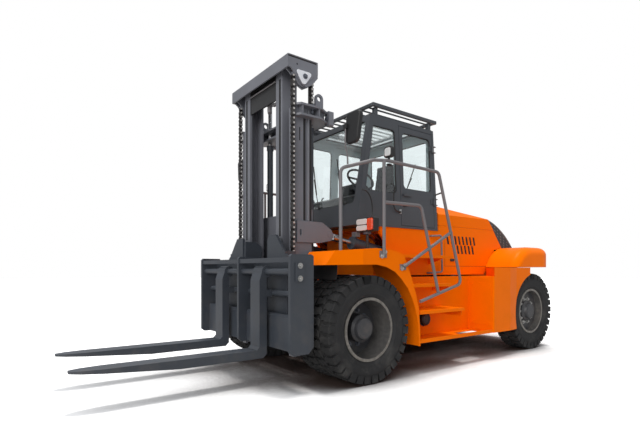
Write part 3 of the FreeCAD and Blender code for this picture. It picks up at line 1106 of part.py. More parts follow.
rim = Part.makeTorus(WHEEL_RADIUS, 14, V(0, 0, 0), V(0, 0, 1))
boss_low = COLUMN_SHORT - GAP
boss = Part.makeCylinder(BOSS_RADIUS, 50, V(0, 0, -35))
wheel = rim.fuse([boss])
for n in range(3):
    spoke = box(30, WHEEL_RADIUS - 8, -14, 14, -12, 0)
    spoke.rotate(V(0, 0, 0), V(0, 0, 1), 120 * n + 60)
    wheel = wheel.fuse(spoke)
wheel.rotate(V(0, 0, 0), V(0, 1, 0), -WHEEL_TILT)
wheel.translate(column_top + column_axis * (35 - boss_low))
export("steering_wheel", wheel)

SEAT_X = -1250.0
seat_base = box(SEAT_X - 200, SEAT_X + 200, -200, 200, CAB_BOTTOM + CAB_FLOOR, 2020)
seat_base = seat_base.fuse([box(SEAT_X - 170, SEAT_X + 190, sign * 255, sign * 330, 1980, 2230) for sign in (1, -1)])
seat_base = seat_base.fuse([box(SEAT_X - 170, SEAT_X - 90, -330, 330, 1980, 2020)])
export("cab_fittings", Part.makeCompound([dash, seat_base]))
cushion = box(SEAT_X - 220, SEAT_X + 250, -245, 245, 2020 + GAP, 2150)
cushion = rounded(cushion, 40, lambda e: True)
backrest = side_plate([(SEAT_X - 230, 2130), (SEAT_X - 130, 2130), (SEAT_X - 220, 2740), (SEAT_X - 300, 2740)], -235, 235)
backrest = rounded(backrest, 30, lambda e: True)
export("seat_cushions", Part.makeCompound([cushion, backrest]))

# ---------------------------------------------------------------- handrails
RAIL_BEND = 70.0
RAIL_TOP = 2347.0
post_front = bent_tube([(313, 1125, 1300), (313, 1125, 2220), (-60, 1215, 2340), (-209, RAIL_Y, 2347),
                        (-1057, RAIL_Y, 2335), (-1490, RAIL_Y, 1015), (-1400, RAIL_Y, 998),
                        (-740, RAIL_Y, 831)], RAIL_BEND, RAIL_RADIUS)
post_middle = rod((-165, RAIL_Y, 1345), (-165, RAIL_Y, 2345), RAIL_RADIUS)
inner_rail = bent_tube([(-165, RAIL_Y, 1903), (-750, RAIL_Y, 1915), (-1057, RAIL_Y, 905)], RAIL_BEND, RAIL_RADIUS)
brace = rod((-468, RAIL_Y, 1222), (-1297, RAIL_Y, 1643), RAIL_RADIUS)
# bolted foot plates on the fender's side
feet = [box(-215, -115, HALF_WIDTH - 4, HALF_WIDTH + 9, 1318, 1390),
        box(-512, -422, HALF_WIDTH - 4, HALF_WIDTH + 9, 1188, 1250)]
rail = fuse([post_front, post_middle, inner_rail, brace] + feet).cut(fender_form)
# bent grab handle on the engine side panel
GRAB_OUT = 55.0
grab_base = BODY_HALF_WIDTH - 12
grab_y = BODY_HALF_WIDTH + GRAB_OUT
grab = bent_tube([(-1585, grab_base, 1643), (-1585, grab_y, 1643), (-1755, grab_y, 1655),
                  (-1775, grab_y, 1160), (-1530, grab_y, 1148), (-1530, grab_base, 1148)], 36, 13)
grab = grab.cut(box(-1400, -2000, 0, BODY_HALF_WIDTH, 1000, 1800))
export("handrails", Part.makeCompound([rail, mirrored(rail), grab, mirrored(grab)]))

# ---------------------------------------------------------------- lamps and mirrors
stalk = rod((235, 1144, 2200), (235, 1144, 2500), 9)
mirror = rounded(box(200, 258, 1130, 1350, 2465, 2780), 22, lambda e: True)
work_lamp = rod((-265, RAIL_Y, 2440), (-215, RAIL_Y, 2440), 60)
work_post = rod((-240, RAIL_Y, 2345), (-240, RAIL_Y, 2400), 10)
head_lamp = rounded(box(-300, -215, 760, 1050, 1618, 1775), 12, lambda e: True)
lamp_post = rod((-260, 900, 1300), (-260, 900, 1640), 16)
above_rail = box(150, 320, 1000, 1200, 2262, 2600)
beside_rail = box(-400, -100, 1100, 1400, RAIL_TOP, 2600)
one_side = [fuse([stalk.common(above_rail), mirror]).cut(rail), fuse([work_lamp, work_post.common(beside_rail)]).cut(rail),
            fuse([head_lamp, lamp_post]).cut(fender_form)]
export("lamps_and_mirrors", Part.makeCompound(one_side + [mirrored(p) for p in one_side]))
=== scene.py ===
import math
import bpy
from mathutils import Matrix, Vector


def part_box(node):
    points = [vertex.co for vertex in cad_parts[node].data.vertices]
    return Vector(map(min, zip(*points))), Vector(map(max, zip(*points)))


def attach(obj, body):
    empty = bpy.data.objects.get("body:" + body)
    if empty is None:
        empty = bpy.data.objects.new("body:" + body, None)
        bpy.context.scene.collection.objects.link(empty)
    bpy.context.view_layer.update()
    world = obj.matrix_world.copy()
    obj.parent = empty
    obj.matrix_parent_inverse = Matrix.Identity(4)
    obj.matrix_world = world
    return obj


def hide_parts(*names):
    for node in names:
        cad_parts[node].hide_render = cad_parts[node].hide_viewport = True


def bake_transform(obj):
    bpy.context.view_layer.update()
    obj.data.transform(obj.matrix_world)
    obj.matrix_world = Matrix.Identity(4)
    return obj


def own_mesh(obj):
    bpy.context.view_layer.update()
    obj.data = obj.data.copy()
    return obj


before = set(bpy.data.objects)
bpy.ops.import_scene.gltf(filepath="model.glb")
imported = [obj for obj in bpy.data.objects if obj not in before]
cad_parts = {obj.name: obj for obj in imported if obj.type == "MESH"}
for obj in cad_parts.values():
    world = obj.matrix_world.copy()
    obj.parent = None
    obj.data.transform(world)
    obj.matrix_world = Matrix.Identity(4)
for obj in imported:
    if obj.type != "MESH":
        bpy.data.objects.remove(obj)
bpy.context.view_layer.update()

# The yard the truck is shown in: a pale floor, soft daylight from above and
# in front, and the camera low beside the left front corner.
FRONT_AXLE = Vector((0.725, 0.0, 0.568))
REAR_AXLE = Vector((-2.685, 0.0, 0.568))


def settle():
    """Object mode with nothing selected, so that the next tool acts alone."""
    if bpy.context.mode != "OBJECT":
        bpy.ops.object.mode_set(mode="OBJECT")
    bpy.ops.object.select_all(action="DESELECT")


def link(tree, source, target):
    tree.links.new(source, target)


def remap(tree, value, low, high, to_low, to_high):
    node = tree.nodes.new("ShaderNodeMapRange")
    node.inputs["From Min"].default_value = low
    node.inputs["From Max"].default_value = high
    node.inputs["To Min"].default_value = to_low
    node.inputs["To Max"].default_value = to_high
    link(tree, value, node.inputs["Value"])
    return node.outputs["Result"]


def blended(tree, share, a, b, mode="MIX"):
    node = tree.nodes.new("ShaderNodeMix")
    node.data_type = "RGBA"
    node.blend_type = mode
    for socket, value in ((node.inputs[0], share), (node.inputs[6], a), (node.inputs[7], b)):
        if isinstance(value, (int, float, tuple)):
            socket.default_value = value
        else:
            link(tree, value, socket)
    return node.outputs[2]


settle()
bpy.ops.mesh.primitive_plane_add(size=120.0, location=(0, 0, -0.001))
floor = bpy.context.object
floor.name = "floor"
floor_paint = bpy.data.materials.new("pale_floor")
floor_paint.use_nodes = True
tree = floor_paint.node_tree
shader = tree.nodes["Principled BSDF"]
shader.inputs["Base Color"].default_value = (0.46, 0.45, 0.44, 1)
shader.inputs["Roughness"].default_value = 0.9
shader.inputs["Specular IOR Level"].default_value = 0.1
seen_floor = tree.nodes.new("ShaderNodeBsdfPrincipled")
seen_floor.inputs["Base Color"].default_value = (0.9, 0.9, 0.905, 1)
seen_floor.inputs["Roughness"].default_value = 1.0
seen_floor.inputs["Specular IOR Level"].default_value = 0.0
seen_floor.inputs["Emission Color"].default_value = (1, 1, 1, 1)
# Seen by the camera, the floor is painted towards dark brown and loses its white glow where ambient occlusion
# finds the truck near: painted shadow under and beside it.
near = tree.nodes.new("ShaderNodeAmbientOcclusion")
near.inputs["Distance"].default_value = 1.3
near.samples = 8
link(tree, remap(tree, near.outputs["AO"], 0.58, 0.98, 0.0, 0.45), seen_floor.inputs["Emission Strength"])
lit_share = remap(tree, near.outputs["AO"], 0.30, 0.74, 0.0, 1.0)
painted_contact_shadow = blended(tree, lit_share, (0.085, 0.062, 0.055, 1), (0.9, 0.9, 0.905, 1))
link(tree, painted_contact_shadow, seen_floor.inputs["Base Color"])
rays = tree.nodes.new("ShaderNodeLightPath")
choose = tree.nodes.new("ShaderNodeMixShader")
link(tree, rays.outputs["Is Camera Ray"], choose.inputs[0])
link(tree, shader.outputs[0], choose.inputs[1])
link(tree, seen_floor.outputs[0], choose.inputs[2])
link(tree, choose.outputs[0], tree.nodes["Material Output"].inputs["Surface"])
floor.data.materials.append(floor_paint)

world = bpy.data.worlds.new("daylight")
bpy.context.scene.world = world
world.use_nodes = True
tree = world.node_tree
sky = tree.nodes["Background"]
sky.inputs["Color"].default_value = (0.93, 0.96, 1.0, 1)
aim = tree.nodes.new("ShaderNodeTexCoord")
height = tree.nodes.new("ShaderNodeSeparateXYZ")
link(tree, aim.outputs["Generated"], height.inputs[0])
link(tree, remap(tree, height.outputs["Z"], 0.0, 0.9, 0.42, 0.62), sky.inputs["Strength"])
backdrop = tree.nodes.new("ShaderNodeBackground")
backdrop.inputs["Color"].default_value = (1, 1, 1, 1)
backdrop.inputs["Strength"].default_value = 1.0
rays = tree.nodes.new("ShaderNodeLightPath")
either = tree.nodes.new("ShaderNodeMath")
either.operation = "MAXIMUM"
link(tree, rays.outputs["Is Camera Ray"], either.inputs[0])
link(tree, rays.outputs["Is Transmission Ray"], either.inputs[1])
choose = tree.nodes.new("ShaderNodeMixShader")
link(tree, either.outputs[0], choose.inputs[0])
link(tree, sky.outputs[0], choose.inputs[1])
link(tree, backdrop.outputs[0], choose.inputs[2])
link(tree, choose.outputs[0], tree.nodes["World Output"].inputs["Surface"])

bpy.ops.object.light_add(type="SUN", location=(4, 6, 9))
sun = bpy.context.object
sun.name = "high_sun"
sun.rotation_euler = Vector((0.10, 0.02, -0.99)).to_track_quat("-Z", "Y").to_euler()
sun.data.energy = 2.1
sun.data.angle = math.radians(9)
sun.data.color = (1.0, 0.98, 0.95)
bpy.ops.object.light_add(type="SUN", location=(6, 8, 4))
side_light = bpy.context.object
side_light.name = "side_daylight"
side_light.rotation_euler = Vector((-0.80, -0.50, -0.34)).to_track_quat("-Z", "Y").to_euler()
side_light.data.energy = 1.4
side_light.data.angle = math.radians(40)
side_light.data.color = (1.0, 0.985, 0.96)

bpy.ops.object.camera_add(location=(3.8706, 4.5916, 1.1891),
                          rotation=(math.radians(90), 0, math.radians(143.42)))
camera = bpy.context.object
camera.name = "yard_camera"
camera.data.sensor_width = 36.0
camera.data.lens = 24.83
camera.data.shift_y = 0.088
camera.data.clip_end = 200.0
bpy.context.scene.camera = camera
bpy.context.scene.view_settings.view_transform = "Standard"


# Orange enamel on the fenders, side boxes, engine cover and counterweight:
# sprayed steel and iron, a little uneven, dusty low down and fine-grained.
def new_group(name, inputs, outputs):
    group = bpy.data.node_groups.new(name, "ShaderNodeTree")
    for label, kind, value in inputs:
        socket = group.interface.new_socket(label, in_out="INPUT", socket_type=kind)
        if value is not None:
            socket.default_value = value
    for label, kind in outputs:
        group.interface.new_socket(label, in_out="OUTPUT", socket_type=kind)
    return group, group.nodes.new("NodeGroupInput"), group.nodes.new("NodeGroupOutput")


def noise(tree, place, scale, detail=4.0, rough=0.55):
    node = tree.nodes.new("ShaderNodeTexNoise")
    node.inputs["Scale"].default_value = scale
    node.inputs["Detail"].default_value = detail
    node.inputs["Roughness"].default_value = rough
    link(tree, place, node.inputs["Vector"])
    return node.outputs["Fac"]


def calculate(tree, operation, a, b):
    node = tree.nodes.new("ShaderNodeMath")
    node.operation = operation
    for socket, value in zip(node.inputs, (a, b)):
        if isinstance(value, (int, float)):
            socket.default_value = value
        else:
            link(tree, value, socket)
    return node.outputs[0]


weathering, given, result = new_group(
    "weathering",
    [("Place", "NodeSocketVector", None), ("Coat", "NodeSocketColor", (0.5, 0.5, 0.5, 1)),
     ("Dust", "NodeSocketColor", (0.25, 0.2, 0.15, 1)), ("Dust Amount", "NodeSocketFloat", 0.3),
     ("Unevenness", "NodeSocketFloat", 0.1), ("Base Roughness", "NodeSocketFloat", 0.4),
     ("Grain", "NodeSocketFloat", 60.0)],
    [("Colour", "NodeSocketColor"), ("Roughness", "NodeSocketFloat"), ("Height", "NodeSocketFloat")])
place = given.outputs["Place"]
broad = noise(weathering, place, 0.9, 3.0)
patchy = noise(weathering, place, 5.0, 6.0, 0.62)
fine = weathering.nodes.new("ShaderNodeTexNoise")
fine.inputs["Detail"].default_value = 3.0
link(weathering, place, fine.inputs["Vector"])
link(weathering, given.outputs["Grain"], fine.inputs["Scale"])
tone = remap(weathering, broad, 0.3, 0.7, -1.0, 1.0)
swing = calculate(weathering, "MULTIPLY", tone, given.outputs["Unevenness"])
value = weathering.nodes.new("ShaderNodeHueSaturation")
link(weathering, given.outputs["Coat"], value.inputs["Color"])
link(weathering, calculate(weathering, "ADD", swing, 1.0), value.inputs["Value"])
split = weathering.nodes.new("ShaderNodeSeparateXYZ")
link(weathering, place, split.inputs[0])
low_down = remap(weathering, split.outputs["Z"], 0.15, 1.1, 1.0, 0.12)
speckle = remap(weathering, patchy, 0.48, 0.72, 0.0, 1.0)
soiling = calculate(weathering, "MULTIPLY", calculate(weathering, "MULTIPLY", low_down, speckle),
                    given.outputs["Dust Amount"])
link(weathering, blended(weathering, soiling, value.outputs["Color"], given.outputs["Dust"]),
     result.inputs["Colour"])
rough = calculate(weathering, "ADD", given.outputs["Base Roughness"],
                  calculate(weathering, "MULTIPLY", calculate(weathering, "SUBTRACT", patchy, 0.5), 0.22))
link(weathering, calculate(weathering, "ADD", rough, calculate(weathering, "MULTIPLY", soiling, 0.3)),
     result.inputs["Roughness"])
relief = calculate(weathering, "ADD", fine.outputs["Fac"], calculate(weathering, "MULTIPLY", patchy, 0.4))
link(weathering, relief, result.inputs["Height"])


def finish(name, coat, dust=(0.16, 0.13, 0.10, 1), dust_amount=0.3, uneven=0.08, rough=0.4,
           grain=60.0, bump=0.05, metallic=0.0, specular=0.5, coat_weight=0.0, sheen=(1, 1, 1, 1)):
    """A material whose colour, gloss and grain come from the weathering group."""
    material = bpy.data.materials.new(name)
    material.use_nodes = True
    tree = material.node_tree
    shader = tree.nodes["Principled BSDF"]
    spot = tree.nodes.new("ShaderNodeTexCoord")
    worn = tree.nodes.new("ShaderNodeGroup")
    worn.node_tree = weathering
    for label, value in (("Coat", coat), ("Dust", dust), ("Dust Amount", dust_amount),
                         ("Unevenness", uneven), ("Base Roughness", rough), ("Grain", grain)):
        worn.inputs[label].default_value = value
    link(tree, spot.outputs["Object"], worn.inputs["Place"])
    link(tree, worn.outputs["Colour"], shader.inputs["Base Color"])
    link(tree, worn.outputs["Roughness"], shader.inputs["Roughness"])
    shader.inputs["Metallic"].default_value = metallic
    shader.inputs["Specular IOR Level"].default_value = specular
    shader.inputs["Specular Tint"].default_value = sheen
    shader.inputs["Coat Weight"].default_value = coat_weight
    shader.inputs["Coat Roughness"].default_value = 0.12
    relief = tree.nodes.new("ShaderNodeBump")
    relief.inputs["Strength"].default_value = bump
    relief.inputs["Distance"].default_value = 0.002
    link(tree, worn.outputs["Height"], relief.inputs["Height"])
    link(tree, relief.outputs["Normal"], shader.inputs["Normal"])
    return material


def paint(piece, material):
    piece.data.materials.clear()
    piece.data.materials.append(material)


def dress(material, *names):
    """Gives CAD nodes their finish."""
    for name in names:
        paint(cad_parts[name], material)


orange = finish("orange_enamel", (0.93, 0.172, 0.0005, 1), (0.42, 0.12, 0.01, 1), 0.22, 0.05, 0.34,
                90.0, 0.04, 0.0, 0.06, 0.0, (1.0, 0.42, 0.06, 1))
dress(orange, "front_fenders", "side_tanks", "body_sides", "counterweight", "hood")

# Dark grey enamel on the mast, carriage, cab and forks, satin, dusty with a
# bluish cast, over steel plate and rolled channels.
mast_grey = finish("mast_grey", (0.050, 0.058, 0.072, 1), (0.13, 0.12, 0.11, 1), 0.45, 0.16, 0.42,
                   120.0, 0.08, 0.0, 0.5)
dress(mast_grey, "lift_barrels", "carriage", "fork_left", "fork_right", "tilt_barrels")
# the channels and the crosshead take the mast's grey enamel painted much lighter: painted light, standing for
# the daylight on the mast's front faces
painted_lit_channel_grey = finish("painted_lit_channel_grey", (0.165, 0.170, 0.195, 1), (0.15, 0.14, 0.13, 1), 0.4, 0.18, 0.36,
                      120.0, 0.07, 0.0, 0.6)
dress(painted_lit_channel_grey, "mast_outer_channels", "mast_outer_crossmembers", "mast_inner_channels", "crosshead")


def opened(material):
    """A finish's node tree, its place, its worn colour, and the place's X, Y and Z."""
    tree = material.node_tree
    spot = next(n for n in tree.nodes if n.type == "TEX_COORD").outputs["Object"]
    worn = next(n for n in tree.nodes if n.type == "GROUP").outputs["Colour"]
    split = tree.nodes.new("ShaderNodeSeparateXYZ")
    link(tree, spot, split.inputs[0])
    return tree, spot, worn, [split.outputs[axis] for axis in "XYZ"]


def within(tree, *tests):
    """1 where every (operation, value, limit) test holds, and 0 elsewhere."""
    share = 1.0
    for operation, value, limit in tests:
        share = calculate(tree, "MULTIPLY", calculate(tree, operation, value, limit), share)
    return share


def repaint(tree, share, worn, tone):
    link(tree, blended(tree, share, worn, tone), tree.nodes["Principled BSDF"].inputs["Base Color"])


# the tie between the inner channels is painted near-black: painted shade, standing for the deep shadow under
# the crosshead
TIE_HALF, TIE_FRONT, TIE_FOOT = 0.3095, 1.3045, 3.0
tree, spot, worn, (x, y, z) = opened(painted_lit_channel_grey)
painted_tie_shade = within(tree, ("LESS_THAN", calculate(tree, "ABSOLUTE", y, 0.0), TIE_HALF),
                 ("LESS_THAN", x, TIE_FRONT), ("GREATER_THAN", z, TIE_FOOT))
repaint(tree, painted_tie_shade, worn, (0.014, 0.013, 0.013, 1))
cab_grey = finish("cab_grey", (0.060, 0.066, 0.076, 1), (0.12, 0.11, 0.10, 1), 0.2, 0.10, 0.40,
                  110.0, 0.05)
dress(cab_grey, "cab_shell", "door_left", "door_right", "overhead_guard")

# Cab lining: pale blue-grey board on the roof and between the windows, inside
# the cab's steel skin and doors only, with the fine grain of the moulded board; its
# paleness is partly painted light, standing for the daylight through the roof window.
SIDE_LEAN, SIDE_OUT = 0.0438, 0.7603         # the side skins lean in as they rise
FRONT_LEAN, FRONT_OUT = 0.195, 0.7604        # and the windscreen leans back
LINING_REAR, LINING_FOOT, LINING_TOP = FRONT_AXLE.x - 1.70, 2.05, 3.054
tree, spot, worn, (x, y, z) = opened(cab_grey)
across = calculate(tree, "ADD", calculate(tree, "ABSOLUTE", y, 0.0),
                   calculate(tree, "MULTIPLY", z, SIDE_LEAN))
forward = calculate(tree, "ADD", x, calculate(tree, "MULTIPLY", z, FRONT_LEAN))
inner = within(tree, ("LESS_THAN", across, SIDE_OUT), ("LESS_THAN", forward, FRONT_OUT),
               ("GREATER_THAN", x, LINING_REAR), ("LESS_THAN", z, LINING_TOP),
               ("GREATER_THAN", z, LINING_FOOT))
painted_daylight_board = blended(tree, noise(tree, spot, 160.0, 2.0), (0.50, 0.60, 0.62, 1), (0.60, 0.71, 0.73, 1))
repaint(tree, inner, worn, painted_daylight_board)
frame_grey = finish("frame_grey", (0.045, 0.046, 0.050, 1), (0.14, 0.12, 0.10, 1), 0.6, 0.18, 0.55,
                    90.0, 0.12)
dress(frame_grey, "chassis_frame", "front_axle", "steer_axle", "knuckle_left", "knuckle_right")
rail_grey = finish("rail_grey", (0.165, 0.155, 0.162, 1), (0.2, 0.17, 0.14, 1), 0.25, 0.1, 0.38, 150.0, 0.04)
dress(rail_grey, "handrails")
iron = finish("engine_iron", (0.09, 0.09, 0.09, 1), (0.1, 0.08, 0.06, 1), 0.5, 0.2, 0.6, 40.0, 0.25)
dress(iron, "engine")
black_plastic = finish("black_plastic", (0.016, 0.016, 0.017, 1), (0.08, 0.08, 0.08, 1), 0.2, 0.1, 0.5,
                       300.0, 0.10)
dress(black_plastic, "cab_fittings", "steering_wheel", "lamps_and_mirrors", "rear_grille")
bare_steel = finish("bare_steel", (0.52, 0.52, 0.53, 1), (0.25, 0.22, 0.2, 1), 0.4, 0.08, 0.28,
                    200.0, 0.03, 1.0)
dress(bare_steel, "lift_rods", "tilt_rods")
chain_steel = finish("chain_steel", (0.045, 0.040, 0.038, 1), (0.05, 0.04, 0.03, 1), 0.6, 0.2, 0.45,
                     200.0, 0.15, 0.9)
dress(chain_steel, "chains_front", "chains_rear")
seat_cloth = finish("seat_cloth", (0.022, 0.023, 0.026, 1), (0.06, 0.06, 0.06, 1), 0.2, 0.15, 0.85,
                    500.0, 0.4)
dress(seat_cloth, "seat_cushions")

# Cab windows: blue-green tinted safety glass, 6 mm, in every opening of the
# cab and the doors.
glass = bpy.data.materials.new("tinted_glass")
glass.use_nodes = True
tree = glass.node_tree
shader = tree.nodes["Principled BSDF"]
shader.inputs["Base Color"].default_value = (0.92, 0.97, 0.975, 1)
shader.inputs["Transmission Weight"].default_value = 1.0
shader.inputs["Roughness"].default_value = 0.02
shader.inputs["IOR"].default_value = 1.45
spot = tree.nodes.new("ShaderNodeTexCoord")
smear = noise(tree, spot.outputs["Object"], 3.0, 5.0)
link(tree, remap(tree, smear, 0.4, 0.75, 0.01, 0.09), shader.inputs["Roughness"])
dress(glass, "cab_glass", "door_glass_left", "door_glass_right")

# Wheel rims: dark grey pressed steel, paler round the flange where the edge
# is rolled, with a dark hub in the dish.
rim_grey = finish("rim_grey", (0.042, 0.043, 0.048, 1), (0.20, 0.17, 0.14, 1), 0.5, 0.12, 0.42, 100.0, 0.06)
FLANGE_LOW, FLANGE_HIGH = 0.301, 0.308       # radii where the rolled edge begins
tree, spot, worn, (x, y, z) = opened(rim_grey)
behind = calculate(tree, "LESS_THAN", x, -1.0)
axle_x = calculate(tree, "ADD", calculate(tree, "MULTIPLY", behind, REAR_AXLE.x - FRONT_AXLE.x), FRONT_AXLE.x)
along = calculate(tree, "POWER", calculate(tree, "SUBTRACT", x, axle_x), 2.0)
upward = calculate(tree, "POWER", calculate(tree, "SUBTRACT", z, FRONT_AXLE.z), 2.0)
outwards = calculate(tree, "POWER", calculate(tree, "ADD", along, upward), 0.5)
flange = remap(tree, outwards, FLANGE_LOW, FLANGE_HIGH, 0.0, 1.0)
scuffs = remap(tree, noise(tree, spot, 22.0, 5.0), 0.42, 0.62, 0.45, 1.0)
flange_tone = blended(tree, scuffs, (0.085, 0.078, 0.070, 1), (0.205, 0.190, 0.170, 1))
repaint(tree, flange, worn, flange_tone)
dress(rim_grey, "rims_front_left", "rims_front_right", "rim_rear_left", "rim_rear_right")


# Tyres: black rubber on a smooth casing, with two rows of blocks that meet in
# a zigzag at the middle and notches between them on the shoulders.
rubber = finish("tyre_rubber", (0.020, 0.020, 0.021, 1), (0.085, 0.082, 0.078, 1), 0.75, 0.2, 0.72,
                80.0, 0.3, 0.0, 0.3)
TYRE_OUT = 0.5675
BLOCKS = 32


def mesh_piece(name, points, faces):
    mesh = bpy.data.meshes.new(name)
    mesh.from_pydata(points, [], faces)
    piece = bpy.data.objects.new(name, mesh)
    bpy.context.scene.collection.objects.link(piece)
    return piece


def use(piece):
    """Makes one piece the only selected and active one."""
    settle()
    piece.select_set(True)
    bpy.context.view_layer.objects.active = piece


def apply_all(piece):
    use(piece)
    for modifier in list(piece.modifiers):
        bpy.ops.object.modifier_apply(modifier=modifier.name)


def eased(piece, width, segments=1, sharp_only=False):
    """Rounds a piece's edges, or only its sharp ones."""
    edge = piece.modifiers.new("edge", "BEVEL")
    edge.width = width
    edge.segments = segments
    if sharp_only:
        edge.limit_method = "ANGLE"
    apply_all(piece)


def face_outwards():
    """Turns the active piece's faces outwards."""
    bpy.ops.object.mode_set(mode="EDIT")
    bpy.ops.mesh.select_all(action="SELECT")
    bpy.ops.mesh.normals_make_consistent(inside=False)
    bpy.ops.object.mode_set(mode="OBJECT")


def joined(name, pieces):
    settle()
    for piece in pieces:
        piece.select_set(True)
    bpy.context.view_layer.objects.active = pieces[0]
    if len(pieces) > 1:
        bpy.ops.object.join()
    whole = bpy.context.object
    whole.name = name
    whole.data.name = name
    return whole


def turned(name, profile, steps):
    """A ring of a (y, radius) outline spun about the Y axis."""
    points = [(0.0, y, r) for y, r in profile]
    edges = [(n, n + 1) for n in range(len(points) - 1)]
    mesh = bpy.data.meshes.new(name)
    mesh.from_pydata(points, edges, [])
    piece = bpy.data.objects.new(name, mesh)
    bpy.context.scene.collection.objects.link(piece)
    use(piece)
    bpy.ops.object.mode_set(mode="EDIT")
    bpy.ops.mesh.select_all(action="SELECT")
    bpy.ops.mesh.spin(steps=steps, angle=math.tau, center=(0, 0, 0), axis=(0, 1, 0))
    bpy.ops.mesh.select_all(action="SELECT")
    bpy.ops.mesh.remove_doubles(threshold=0.00005)
    face_outwards()
    bpy.ops.object.shade_smooth()
    return piece


def make_tyre():
    base = TYRE_OUT - 0.021
    side = [(0.112, 0.3215), (0.114, 0.337), (0.128, 0.352), (0.1365, 0.368), (0.1400, 0.371),
            (0.1415, 0.378), (0.1400, 0.384), (0.1440, 0.400), (0.1478, 0.420), (0.1490, 0.446),
            (0.1480, 0.470), (0.1400, 0.482), (0.1340, 0.505), (0.1300, 0.528), (0.120, 0.542), (0.08, base)]
    casing = turned("tyre", side + [(-y, r) for y, r in reversed(side)], 96)
    # one shoulder block: long bar from the middle to the shoulder, with a notch
    half = math.pi / BLOCKS * 0.78

    def rise(y, radius, turn):
        return (math.sin(turn) * radius, y, math.cos(turn) * radius)

    outline = [(0.006, -0.55), (0.045, -1.0), (0.085, -0.80), (0.1490, -0.98),
               (0.1490, 0.98), (0.085, 1.0), (0.045, 0.62), (0.006, 1.0)]
    drop = {0.149: 0.006}
    points = [rise(y, TYRE_OUT - drop.get(y, 0.0), t * half) for y, t in outline]
    points += [rise(0.1470, 0.478, t * half) if y > 0.14 else rise(y, base - 0.004, t * half)
               for y, t in outline]
    count = len(outline)
    faces = [tuple(range(count))]
    for n in range(count):
        m = (n + 1) % count
        faces.append((n, n + count, m + count, m))
    block = mesh_piece("block", points, faces)
    eased(block, 0.0035, 1, True)
    face_outwards()
    bpy.ops.object.mode_set(mode="EDIT")
    bpy.ops.mesh.spin(steps=BLOCKS, angle=math.tau, center=(0, 0, 0), axis=(0, 1, 0), dupli=True)
    bpy.ops.object.mode_set(mode="OBJECT")
    other = block.copy()
    other.data = block.data.copy()
    bpy.context.scene.collection.objects.link(other)
    other.data.transform(Matrix.Rotation(math.pi / BLOCKS, 4, "Y") @ Matrix.Scale(-1, 4, (0, 1, 0)))
    use(other)
    face_outwards()
    tyre = joined("tyre", [casing, block, other])
    paint(tyre, rubber)
    return tyre


def placed(piece, name, matrix):
    """A copy of a piece with its own mesh, moved to its place."""
    copy = piece.copy()
    copy.data = piece.data.copy()
    copy.name = name
    copy.data.transform(matrix)
    if matrix.determinant() < 0:
        copy.data.flip_normals()
    bpy.context.scene.collection.objects.link(copy)
    return copy


tyre = make_tyre()
for side, sign in (("left", 1), ("right", -1)):
    pair = [placed(tyre, "twin", Matrix.Translation((FRONT_AXLE.x, sign * y, FRONT_AXLE.z))
                   @ Matrix.Rotation(turn, 4, "Y")) for y, turn in ((0.770, 0.03), (1.095, 0.11))]
    front = joined("front_tyres_" + side, pair)
    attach(front, "front_wheels_" + side)
    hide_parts("tyres_front_" + side)
    rear = placed(tyre, "rear_tyre_" + side, Matrix.Translation((REAR_AXLE.x, sign * 1.0, REAR_AXLE.z)))
    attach(rear, "rear_wheel_" + side)
    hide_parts("tyre_rear_" + side)
bpy.data.objects.remove(tyre)

# Leaf chains of the mast: packs of link plates on pins, oiled steel. The long
# front runs shorten as the mast goes up, the short rear runs lengthen.
worn_link = finish("worn_link", (0.085, 0.080, 0.078, 1), (0.10, 0.08, 0.06, 1), 0.3, 0.2, 0.35,
                   200.0, 0.1, 0.5)
pin_steel = finish("pin_steel", (0.62, 0.60, 0.58, 1), (0.2, 0.16, 0.12, 1), 0.3, 0.1, 0.38,
                   200.0, 0.05, 0.3)
CHAIN_SIDE = 0.620
CHAIN_STEP = 0.0508
CHAIN_HALF = 0.022
LINK_ROUND = 0.0185


def round_bar(name, vertices, radius, depth, location=(0, 0, 0), rotation=(0, 0, 0)):
    """A turned bar, or with six sides a hexagon, at its place."""
    settle()
    bpy.ops.mesh.primitive_cylinder_add(vertices=vertices, radius=radius, depth=depth,
                                        location=location, rotation=rotation)
    piece = bpy.context.object
    piece.name = name
    bpy.ops.object.transform_apply(location=True, rotation=True, scale=True)
    return piece


def link_plate(name, thickness):
    """One flat link plate with two round ends, standing in the X-Z plane."""
    settle()
    bpy.ops.mesh.primitive_circle_add(vertices=16, radius=LINK_ROUND, fill_type="NGON",
                                      rotation=(math.pi / 2, 0, 0))
    plate = bpy.context.object
    plate.name = name
    bpy.ops.object.transform_apply(location=True, rotation=True, scale=True)
    for vertex in plate.data.vertices:
        if abs(vertex.co.z) > 0.001:
            vertex.co.z += math.copysign(CHAIN_STEP / 2, vertex.co.z)
        if abs(vertex.co.z) < 0.012:
            vertex.co.x *= 0.66
    bpy.ops.object.mode_set(mode="EDIT")
    bpy.ops.mesh.select_all(action="SELECT")
    bpy.ops.mesh.extrude_region_move(TRANSFORM_OT_translate={"value": (0, thickness, 0)})
    face_outwards()
    plate.data.transform(Matrix.Translation((0, -thickness / 2, 0)))
    return plate


